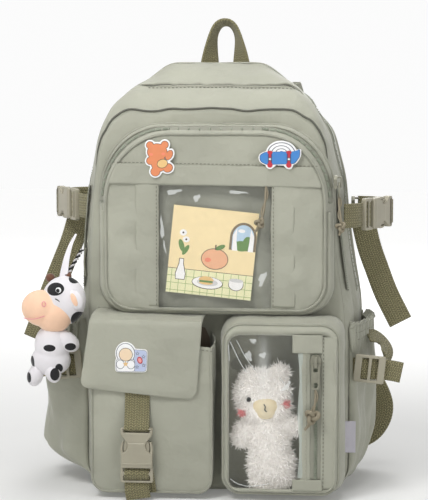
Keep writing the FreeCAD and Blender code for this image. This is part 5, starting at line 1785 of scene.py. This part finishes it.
def make_back_panel():
    """Air-mesh back: two long pads and a lumbar pad, quilted, with bound edges round the panel."""
    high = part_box("back_panel")[1]
    base_y = REAR_DEPTH + 3 * MM
    rows = []
    centre = REAR_LOOP.mean(axis=0)
    for t in np.linspace(0, 1, 30):
        loop = centre + (REAR_LOOP - centre) * (1 - t * 0.9995)
        places = at_depth(loop, base_y + 2.6 * MM * smooth(t / 0.12))
        places[:, 1] += folds(places, 0.07, 241) * 0.6 * MM * min(1, t * 5)
        rows.append(places)
    piece = grid_piece("back_cloth", rows, sage_cloth, closed=True, thickness=1.0 * MM, inward=False)
    sewn(piece, "back_panel")
    top = high.y - 0.5 * MM
    pads = {
        "left": (-0.086, -0.018, 0.150, 0.372), "right": (0.018, 0.086, 0.150, 0.372),
        "lumbar": (-0.086, 0.086, 0.048, 0.138),
    }
    for label, (left, right, foot, head) in pads.items():
        grid = []
        for v in np.linspace(0, 1, 70):
            row = []
            for u in np.linspace(0, 1, 46):
                x = left + (right - left) * u
                z = foot + (head - foot) * v
                rim = min(u * (right - left), (1 - u) * (right - left), v * (head - foot),
                          (1 - v) * (head - foot))
                swell = smooth(rim / 11e-3) ** 0.7
                channel = abs(math.sin(math.pi * (z - foot) / 0.037)) ** 0.35
                rise = base_y + 2 * MM + (top + 1.2 * MM - base_y) * swell * (0.62 + 0.38 * channel)
                row.append((x, rise, z))
            grid.append(row)
        pad = grid_piece(f"back_pad_{label}", grid, mesh_cloth, thickness=1.5 * MM, inward=False)
        sewn(pad)
        edge = rectangle_loop(left, right, foot, head, 4 * MM, count=160)
        sewn(tube(f"back_pad_{label}_binding", at_depth(edge, base_y + 3.2 * MM), 1.8 * MM, sage_edge,
                  closed=True))
    rim = at_depth(grow_loop(REAR_LOOP, 0.2 * MM), REAR_DEPTH + 3.5 * MM)
    piping("back_binding", rim, 2.6 * MM)
    yoke = [(x, base_y + 4.4 * MM, 0.398 - 9 * MM * (x / 0.09) ** 2)
            for x in np.linspace(-0.09, 0.09, 60)]
    sewn(tube("back_yoke_piping", yoke, 2.2 * MM, sage_edge))


# ---------------------------------------------------------------- sliders and small metal

def node_body(node):
    for body, members in frame["record"]["behaviour"]["bodies"].items():
        if node in members:
            return body
    return "root"


def dressed(node, material, slot, width):
    """A rounded copy of a CAD piece, in its place."""
    mesh = frame["nodes"][node].data.copy()
    piece = bpy.data.objects.new(f"{node}_finished", mesh)
    bpy.context.scene.collection.objects.link(piece)
    mesh.materials.clear()
    mesh.materials.append(material)
    weld = piece.modifiers.new("weld", "WELD")
    weld.merge_threshold = 0.02 * MM
    flat = piece.modifiers.new("flat", "DECIMATE")
    flat.decimate_type = "DISSOLVE"
    flat.angle_limit = math.radians(2)
    edges = piece.modifiers.new("bevel", "BEVEL")
    edges.width = width
    edges.segments = 3
    edges.limit_method = "ANGLE"
    edges.angle_limit = math.radians(35)
    edges.harden_normals = True
    smooth_shaded(mesh)
    return on_body(piece, node_body(node), slot, node)


def make_hardware():
    for node in ("upper_zip_slider", "window_zip_slider", "second_zip_slider", "main_zip_slider"):
        dressed(node, slider_metal, "zip_metal", 0.5 * MM)
    dressed("window_zip_tab", slider_metal, "buckle_plastic", 0.4 * MM)
    centre = middle_of("upper_zip_ring")
    angles = np.linspace(0, TAU, 48, endpoint=False)
    loop = np.stack([np.zeros(48), np.cos(angles) * 4.6 * MM, np.sin(angles) * 6.8 * MM], axis=1)
    loop += centre + array((0.4 * MM, -1.0 * MM, -0.6 * MM))
    on_body(tube("upper_ring_wire", loop, 1.0 * MM, slider_metal, closed=True), "upper_pull",
            "zip_metal", "upper_zip_ring")
    make_tag()


def make_tag():
    """Blank woven label folded into the side seam."""
    low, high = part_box("side_tag")
    rows = []
    for z in np.linspace(low.z, high.z, 24):
        rows.append([(x, low.y - 0.5 * MM + 1.0 * MM * math.sin((x - low.x) * 190) * 0.6, z)
                     for x in np.linspace(low.x - 1 * MM, high.x, 14)])
    on_body(grid_piece("side_label", rows, tag_cloth, thickness=0.7 * MM), "root", "tag_fabric",
            "side_tag")
    edge = [(low.x + 0.6 * MM, low.y - 0.6 * MM, z)
            for z in np.linspace(low.z + 1 * MM, high.z - 1 * MM, 30)]
    on_body(stitches("side_label_stitches", edge, (0, -1, 0), pale_thread), "root", "tag_fabric")


# ---------------------------------------------------------------- plush toys

LAMB = ("root", "lamb_fleece")  # body and finish of each toy's pieces
COW = ("charm", "cow_plush")


def blob(name, toy, balls, material, *nodes, voxel=1.2, passes=6, centre=(0, 0, 0)):
    """One soft closed form of a toy from overlapping ellipsoids.

    Each ball is x, y, z, three radii and a tilt about Y: millimetres from the centre, and degrees.
    """
    pieces = []
    for ball in balls:
        spot = array(centre) + array(ball[:3]) * MM
        spin = Matrix.Rotation(math.radians(ball[6]), 4, "Y")
        bpy.ops.mesh.primitive_uv_sphere_add(segments=32, ring_count=20, radius=1)
        piece = bpy.context.active_object
        piece.data.transform(Matrix.Translation(spot) @ spin
                             @ Matrix.Diagonal((*(array(ball[3:6]) * MM), 1)))
        pieces.append(piece)
    whole = joined(name, pieces) if len(pieces) > 1 else pieces[0]
    whole.name = name
    fill = whole.modifiers.new("fill", "REMESH")
    fill.mode = "VOXEL"
    fill.voxel_size = voxel * MM
    soften = whole.modifiers.new("soften", "SMOOTH")
    soften.factor = 0.5
    soften.iterations = passes
    bpy.context.view_layer.update()
    mesh = bpy.data.meshes.new_from_object(whole.evaluated_get(bpy.context.evaluated_depsgraph_get()))
    whole.modifiers.clear()
    whole.data = mesh
    mesh.materials.clear()
    mesh.materials.append(material)
    smooth_shaded(mesh)
    return on_body(whole, *toy, *nodes)


def surface_points(piece, count, seed):
    """Points spread over a mesh, with their normals."""
    mesh = piece.data
    mesh.calc_loop_triangles()
    triangles = array([t.vertices for t in mesh.loop_triangles]).astype(int)
    points = array([v.co for v in mesh.vertices])
    corners = points[triangles]
    cross = np.cross(corners[:, 1] - corners[:, 0], corners[:, 2] - corners[:, 0])
    area = np.linalg.norm(cross, axis=1)
    rng = np.random.default_rng(seed)
    pick = rng.choice(len(area), count, p=area / area.sum())
    a, b = rng.random(count), rng.random(count)
    flip = a + b > 1
    a[flip], b[flip] = 1 - a[flip], 1 - b[flip]
    chosen = corners[pick]
    spots = (chosen[:, 0] + (chosen[:, 1] - chosen[:, 0]) * a[:, None]
             + (chosen[:, 2] - chosen[:, 0]) * b[:, None])
    return spots, unit(cross[pick])


def tufts(name, toy, piece, count, length, width, material, seed, keep=None):
    """Curled locks of pile, combed downwards, rooted all over a soft form of a toy."""
    rng = np.random.default_rng(seed + 1)
    spots, normals = surface_points(piece, count, seed)
    if keep is not None:
        chosen = keep(spots)
        spots, normals = spots[chosen], normals[chosen]
    number = len(spots)
    lean = unit(normals + rng.normal(size=(number, 3)) * 0.55 + array((0, 0, -0.25)))
    curl = unit(rng.normal(size=(number, 3)))
    reach = length * rng.uniform(0.55, 1.25, number)
    wide = unit(np.cross(lean, curl)) * (width * rng.uniform(0.7, 1.3, number))[:, None]
    verts = np.zeros((number, 7, 3))
    for step, (share, spread) in enumerate(((0, 1.0), (0.4, 1.0), (0.75, 0.7))):
        bend = curl * (reach * 0.55 * share ** 2)[:, None]
        spine = spots - normals * 0.4 * MM + lean * (reach * share)[:, None] + bend
        verts[:, 2 * step] = spine - wide * spread / 2
        verts[:, 2 * step + 1] = spine + wide * spread / 2
    verts[:, 6] = spots + lean * reach[:, None] + curl * (reach * 0.62)[:, None]
    base = np.arange(number)[:, None] * 7
    faces = [tuple(face) for corners in ((0, 1, 3, 2), (2, 3, 5, 4), (4, 5, 6))
             for face in base + np.array(corners)]
    return on_body(mesh_piece(name, verts.reshape(-1, 3), faces, material), *toy)


def make_lamb():
    """White fleece toy with a pale snout, standing behind the lower window."""
    head, body = middle_of("toy_head"), middle_of("toy_body")
    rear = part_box("toy_head")[1].y
    snout = head + array((4, 0, -15)) * MM
    skull = blob("lamb_head", LAMB, [
        (1, 3, -3, 26.5, 13, 21.5, 0), (3, 3, -15, 25, 13, 17, 0), (18, 4, 16, 8.5, 6, 9.5, 25),
        (-12, 4, 13, 9, 6, 6, -25)], lamb_fleece, "toy_head", centre=head)
    trunk = blob("lamb_body", LAMB, [
        (2, 3, 12, 19.5, 13, 32, 0), (4, 3, -10, 22, 13, 24, 0), (-23, 2, 22, 9, 8, 15, 30),
        (25, 3, 30, 14, 8, 8, 24), (-6, 2, -26, 10, 9, 9.5, 0), (16, 2, -22, 10, 9, 9.5, -10)],
        lamb_fleece, "toy_body", centre=body)

    def in_front(spots):
        return spots[:, 1] < rear - 2 * MM

    def off_snout(spots):
        gap = (spots - snout) / (array((14.5, 100, 13.0)) * MM)
        return in_front(spots) & (np.linalg.norm(gap[:, [0, 2]], axis=1) > 0.92)

    tufts("lamb_head_pile", LAMB, skull, 8000, 4.6 * MM, 1.1 * MM, lamb_pile, 301, off_snout)
    tufts("lamb_body_pile", LAMB, trunk, 10000, 4.4 * MM, 1.1 * MM, lamb_pile, 311, in_front)
    blob("lamb_snout", LAMB, [(0, -4.5, 0.5, 14, 7.5, 10.5, 0), (1, -4.2, -5, 10.5, 7.0, 8.5, 0)],
         lamb_snout_cloth, voxel=0.8, centre=snout)
    nose = curve_through(snout + array([(-0.5, -12.4, 3.2), (1.0, -12.9, 0.6), (0.4, -12.4, -2.4),
                                        (2.2, -12.0, -4.4)]) * MM, 20)
    on_body(tube("lamb_nose_stitch", nose, 0.55 * MM, ink_black, sides=8), *LAMB)
    blob("lamb_eye", LAMB, [(-11.5, -11.6, -7.5, 2.3, 1.8, 2.5, 0)], bead_black, voxel=0.4, passes=2,
         centre=head)
    for label, spot in (("left", (-19, -8.6, -21.5)), ("right", (25.5, -5.6, -12.5))):
        cheek = blob(f"lamb_cheek_{label}_core", LAMB, [(*spot, 3.4, 2.0, 2.6, 0)], lamb_blush, voxel=0.6,
                     centre=head)
        tufts(f"lamb_cheek_{label}", LAMB, cheek, 160, 2.6 * MM, 0.6 * MM, lamb_blush, 321)


def spotted(name, base, dark, spots):
    """Short plush, white with sharp-edged dark patches: centre and radii in millimetres."""
    recipe = Recipe(name, base, 0.88, Sheen_Weight=0.6, Sheen_Roughness=0.4)
    cloud = recipe.noise(60, 3)
    ground = recipe.ramp(cloud, "Fac", [(0.3, [c * 0.95 for c in base]), (0.7, base)])
    start, output = recipe.position()
    mask = None
    for spot in spots:
        shift = recipe.add("ShaderNodeVectorMath", operation="SUBTRACT")
        shift.inputs[1].default_value = [value * MM for value in spot[:3]]
        recipe.join(start, output, shift, 0)
        scale = recipe.add("ShaderNodeVectorMath", operation="DIVIDE")
        scale.inputs[1].default_value = [value * MM for value in spot[3:]]
        recipe.join(shift, 0, scale, 0)
        reach = recipe.add("ShaderNodeVectorMath", operation="LENGTH")
        recipe.join(scale, 0, reach, 0)
        inside = recipe.math("LESS_THAN", reach.outputs["Value"], 1.0)
        mask = inside if mask is None else recipe.math("MAXIMUM", mask, inside)
    mix = recipe.add("ShaderNodeMix", data_type="RGBA")
    recipe.links.new(mask, mix.inputs["Factor"])
    recipe.links.new(ground.outputs["Color"], mix.inputs["A"])
    mix.inputs["B"].default_value = (*dark, 1)
    recipe.links.new(mix.outputs["Result"], recipe.shader.inputs["Base Color"])
    recipe.grain(1500, 3, 0.7, 0.45, 0.35 * MM)
    return recipe.material


def make_cow():
    """Plush cow charm: round white head, peach muzzle, dark patches, hung from the second slider."""
    def line(name, points, count, radius, material):
        path = curve_through(array(points) * MM, count)
        on_body(tube(name, path, radius * MM, material, sides=8), *COW)

    black = (0.012, 0.012, 0.014)
    white = (0.80, 0.775, 0.80)
    head_coat = spotted("cow_head_coat", white, black, [
        (-160.5, -94, 208.0, 11.4, 12, 7.6), (-137.5, -80, 176, 7.0, 16, 9.0), (-143, -76, 214, 6, 9, 5.5),
        (-140, -72, 200, 8, 5, 6)])
    body_coat = spotted("cow_body_coat", white, black, [
        (-165, -93, 148, 6.4, 8, 3.6), (-184.5, -86, 131, 3.4, 10, 8.6),
        (-144.6, -86.5, 149.2, 5.6, 7, 4.0), (-156, -88, 127, 3.8, 8, 5.0)])
    blob("cow_head_plush", COW, [(-152.5, -77, 194, 22.5, 15.5, 25, 8), (-162, -78, 185, 22, 15, 19.5, 0)],
         head_coat, "cow_head", voxel=1.0, passes=10)
    blob("cow_muzzle", COW, [(-174, -82.5, 187.0, 20.4, 13.6, 18.4, 10),
                             (-162, -81.5, 180.5, 19.4, 13.4, 18.4, 0)], cow_peach, voxel=1.0, passes=10)
    angles = np.linspace(0, TAU, 30, endpoint=False)
    ring = [(-169.4 * MM + 1.9 * MM * math.cos(a), -95.9 * MM - 0.25 * MM * math.sin(a),
             192.8 * MM + 2.6 * MM * math.sin(a)) for a in angles]
    on_body(tube("cow_nostril", ring, 0.42 * MM, cow_pink, closed=True, sides=8), *COW)
    line("cow_smile", [(-191.0, -90.4, 178.0), (-184, -93.9, 177.4), (-177, -95.8, 178.2),
                       (-168.5, -96.0, 181.0)], 30, 0.42, cow_pink)
    blob("cow_eye_gleam", COW, [(-155.0, -93.4, 206.6, 2.9, 1.0, 3.0, 0)], cow_eye_white, voxel=0.4,
         passes=2)
    blob("cow_eye_bead", COW, [(-155.5, -94.2, 206.2, 1.9, 0.8, 2.1, 0)], bead_black, voxel=0.3, passes=2)
    line("cow_lid", [(-158.5, -92.2, 197.8), (-155.6, -92.3, 196.2), (-153.4, -91.6, 194.0)], 20, 0.5,
         ink_black)
    blob("cow_ear", COW, [(-138.5, -88, 196.5, 7.0, 4.6, 11.0, -22)], cow_white, voxel=0.8)
    blob("cow_ear_lining", COW, [(-139.6, -92.0, 197.0, 3.0, 1.6, 7.2, -22)], cow_peach, voxel=0.6,
         passes=4)
    for label, horn in (("near", (-167.0, -70, 216.0, 5.0, 4.4, 4.6, 16)),
                        ("far", (-148.5, -74, 215.5, 3.4, 3.2, 7, 16))):
        blob(f"cow_horn_{label}", COW, [horn], cow_horn, voxel=0.6, passes=4)
    blob("cow_body_plush", COW, [(-164, -77.0, 150, 18.4, 14.8, 20.8, 4),
                                 (-166, -77.5, 134, 20.4, 13, 16, 0)],
         body_coat, "cow_body", voxel=1.0, passes=8)
    blob("cow_arm", COW, [(-149.0, -81, 154.0, 14.2, 8.4, 9.4, 36)], body_coat, voxel=0.8)
    for label, (x, y, z), tilt, patch in (("near", (-181.5, -80, 118.5), 14, -7.4),
                                          ("far", (-163.0, -82, 122.5), -14, 3.2)):
        coat = spotted(f"cow_foot_coat_{label}", white, black, [(x + patch, y - 8, z - 1.4, 4.8, 7, 6.6)])
        blob(f"cow_foot_{label}", COW, [(x, y, z, 8.2, 9.2, 11.2, tilt)], coat, voxel=0.8)
    make_charm_links()


def make_charm_links():
    """Braided black and white cord from the slider to the plush, with a loop of ribbon."""
    start = array((-0.1372, -0.0525, 0.2430))
    end = array((-0.1500, -0.0740, 0.2185))
    count = 60
    way = end - start
    axis = unit(way)
    side = unit(np.cross(axis, (0, 1, 0.2)))
    other = np.cross(axis, side)
    for label, material, phase, nodes in (("dark", ink_black, 0.0, ["charm_chain"]),
                                          ("pale", cow_white, math.pi, [])):
        turns = np.linspace(0, TAU * 4.5, count) + phase
        path = start + np.outer(np.linspace(0, 1, count), way) + 1.15 * MM * (
            np.outer(np.cos(turns), side) + np.outer(np.sin(turns), other))
        on_body(tube(f"charm_braid_{label}", path, 0.95 * MM, material, sides=8), "charm", "zip_metal",
                *nodes)
    lace = curve_through([(-0.1415, -0.0640, 0.2600), (-0.1465, -0.0680, 0.2490),
                          (-0.1505, -0.0715, 0.2340), (-0.1530, -0.0745, 0.2170)], 40)
    width = np.linspace(0.25, 1.0, len(lace))
    fan = swept("charm_ribbon", lace, flat_section(9.5 * MM, 0.6 * MM), (1, -0.25, 0), cow_white,
                scale=width)
    on_body(fan, "charm", "zip_metal")
    bar = curve_through([(-0.1335, -0.0545, 0.2450), (-0.1345, -0.0560, 0.2300),
                         (-0.1330, -0.0560, 0.2160)], 24)
    on_body(tube("second_pull_bar", bar, 1.0 * MM, slider_metal, sides=8), "second_slider", "zip_metal")


# ---------------------------------------------------------------- badges

def badge(name, node, backs, layers):
    """Acrylic badge: a white body with a printed face; layers are (material, points) in millimetres."""
    centre = middle_of(node) - array((0, 1.2 * MM, 0))
    pieces = [plate(name, [union_outline(backs)], tuple(centre), 2.2, 0.5, badge_white)]
    for step, (material, points) in enumerate(layers):
        verts = [(centre[0] + x * MM, centre[1] - 1.12 * MM - 0.02 * MM * step, centre[2] + z * MM)
                 for x, z in points]
        pieces.append(mesh_piece("ink", verts, [tuple(range(len(verts)))], material, False))
    return on_body(joined(name, pieces), node_body(node), "badge_plastic", node)


def spread(shape, amount):
    """A round shape made larger by an amount on every side."""
    centre = array(shape).mean(axis=0)
    arms = array(shape) - centre
    reach = np.linalg.norm(arms, axis=1, keepdims=True)
    return [tuple(p) for p in centre + arms * (1 + amount / reach)]


def union_outline(shapes):
    """Outline round overlapping shapes, found along rays from their shared middle."""
    centre = array([array(shape).mean(axis=0) for shape in shapes]).mean(axis=0)
    angles = np.linspace(0, TAU, 240, endpoint=False) + 0.0037
    reach = np.zeros(len(angles))
    for shape in shapes:
        starts = array(shape) - centre
        along = np.roll(starts, -1, axis=0) - starts
        for index, angle in enumerate(angles):
            way = (math.cos(angle), math.sin(angle))
            turn = way[0] * along[:, 1] - way[1] * along[:, 0]
            turn = np.where(np.abs(turn) < 1e-6, np.nan, turn)
            far = (starts[:, 0] * along[:, 1] - starts[:, 1] * along[:, 0]) / turn
            share = (starts[:, 0] * way[1] - starts[:, 1] * way[0]) / turn
            hits = far[(share >= 0) & (share <= 1) & (far > 0)]
            if len(hits):
                reach[index] = max(reach[index], hits.max())
    for _ in range(2):
        reach = np.maximum(reach, (np.roll(reach, 1) + np.roll(reach, -1)) / 2)
    return [(centre[0] + r * math.cos(a), centre[1] + r * math.sin(a)) for r, a in zip(reach, angles)]


def make_badges():
    """Three plain badges: a faceless teddy shape, a plain board and a puff of cloud with a label."""
    teddy = [
        (-1.5, 7, 9.6, 8.0, 0), (-8.6, 13.6, 3.4, 3.4, 0), (6.0, 14.2, 3.4, 3.4, 0),
        (0.2, -4.5, 7.4, 7.6, 0), (10.2, 4.0, 3.0, 5.0, -0.5), (-7.6, -1.5, 4.4, 3.8, 0.3),
        (-3.4, -12.4, 4.4, 4.2, 0), (9.0, -8.6, 4.6, 4.0, 0.4),
    ]
    shapes = [oval(x, z, half_x, half_z, 26, tilt=tilt) for x, z, half_x, half_z, tilt in teddy]
    layers = [(ink_brown, spread(shape, 0.5)) for shape in shapes]
    layers += [(badge_orange, shape) for shape in shapes]
    layers += [(ink_brown, oval(3.6, -4.4, 5.5, 4.5, tilt=0.3)),
               (bread_brown, oval(3.6, -4.4, 5.0, 4.0, tilt=0.3)),
               (fruit_blush, oval(-7.4, 4.6, 1.9, 1.4)), (fruit_blush, oval(4.6, 5.2, 1.9, 1.4))]
    badge("badge_plush", "badge_bear", [spread(shape, 1.9) for shape in shapes], layers)

    deck = rounded([(-19.5, 1.4), (-14, 4.6), (10, 4.8), (15, 5.4), (19.6, 7.6), (19.4, 0.2), (14.5, -6.8),
                    (-13, -7.8), (-18.8, -4.6)], 3.0)
    board = []
    for share, material in ((1.0, badge_grey), (0.93, badge_white), (0.72, badge_grey), (0.66, badge_white),
                            (0.44, badge_grey), (0.38, badge_white), (0.2, badge_blue)):
        board.append((material, oval(1.6, 3.4, 13.6 * share, 10.6 * share, 26, 0, math.pi)))
    board += [(badge_navy, spread(deck, 0.5)), (badge_blue, deck)]
    for x in (-9.5, 9.0):
        board += [(badge_navy, block(x - 2.0, x + 2.0, -9.4, 5.0)),
                  (badge_red, block(x - 1.2, x + 1.2, -8, 4.4)), (badge_red, oval(x, 4.2, 2.6, 1.7)),
                  (badge_grey, oval(x, -2.4, 2.0, 1.7)),
                  (badge_white, oval(x, -2.4, 1.1, 0.9)), (badge_red, oval(x, -8.2, 2.6, 2.6))]
    backs = [spread(deck, 1.6), oval(1.6, 3.4, 15.2, 12.2, 40), oval(-9.5, -8.4, 4.2, 4.0),
             oval(9, -8.4, 4.2, 4.0)]
    badge("badge_board_plate", "badge_board", backs, board)

    card = rounded([(0.5, -12.6), (14.4, -12.6), (15.2, 7.8), (1, 8.8)], 3)
    base = rounded([(-15, -12.8), (3, -12.8), (3, -1), (-15, -1)], 2.6)
    cloud = [
        (badge_grey, spread(card, 0.4)), (badge_lilac, card),
        (badge_grey, oval(-5.8, 5.0, 9.4, 10.2)), (badge_white, oval(-5.8, 5.0, 8.8, 9.6)),
        (badge_grey, spread(base, 0.5)), (badge_white, base),
        (ink_brown, oval(-5.6, 3.8, 6.9, 6.7)), (cow_card, oval(-5.6, 3.8, 6.4, 6.2)),
        (badge_grey, oval(-11.0, -6.0, 4.2, 4.6)), (badge_white, oval(-11.0, -6.0, 3.7, 4.1)),
        (badge_grey, oval(-0.6, -6.0, 4.2, 4.6)), (badge_white, oval(-0.6, -6.0, 3.7, 4.1)),
        (bread_brown, star(-5.8, -5.6, 3.0)),
    ]
    for x, z in ((6, 5.0), (12, 2.0), (5.6, -8.4), (12.2, -6.6)):
        cloud += [(badge_grey, star(x, z, 2.1)), (badge_lilac, star(x, z, 1.3))]
    cloud += [(badge_red, oval(8.4, -1.6, 2.6, 3.6, tilt=0.3)),
              (lamb_snout_pink, oval(8.4, -1.6, 1.7, 2.5, tilt=0.3))]
    backs = [spread(card, 1.2), oval(-5.8, 5.0, 10.4, 11.2, 40), spread(base, 1.4)]
    badge("badge_cloud_plate", "badge_cloud", backs, cloud)


def star(x, z, size):
    """Five-pointed star."""
    angles = np.linspace(0, TAU, 10, endpoint=False) + math.pi / 2
    reach = [size * (0.45 if k % 2 else 1) for k in range(10)]
    return [(x + r * math.cos(a), z + r * math.sin(a)) for r, a in zip(reach, angles)]


# ---------------------------------------------------------------- making the scene

make_camera()
make_pull_cord("upper_pull_cord", UPPER_ROUTE, "upper_pull", 0.8, 20)
make_pull_cord("window_pull_cord", WINDOW_ROUTE, "window_pull", 0.62, -10, 13 * MM)
make_pull_cord("header_pull_cord", HEADER_ROUTE, "header_pull", 0.82, 30)
make_studio()
make_shell()
make_slit()
make_main_zips()
make_upper_pocket()
make_card()
make_flap_pocket()
make_flap()
make_flap_buckle()
make_side_buckles()
make_pocket_locks()
make_window_pocket()
for bag_side, side_name in SIDES:
    make_side_pocket(bag_side, side_name)
    make_shoulder_strap(bag_side, side_name)
make_handle()
make_lower_webbing()
make_laptop_sleeve()
make_back_panel()
make_hardware()
make_lamb()
make_cow()
make_badges()
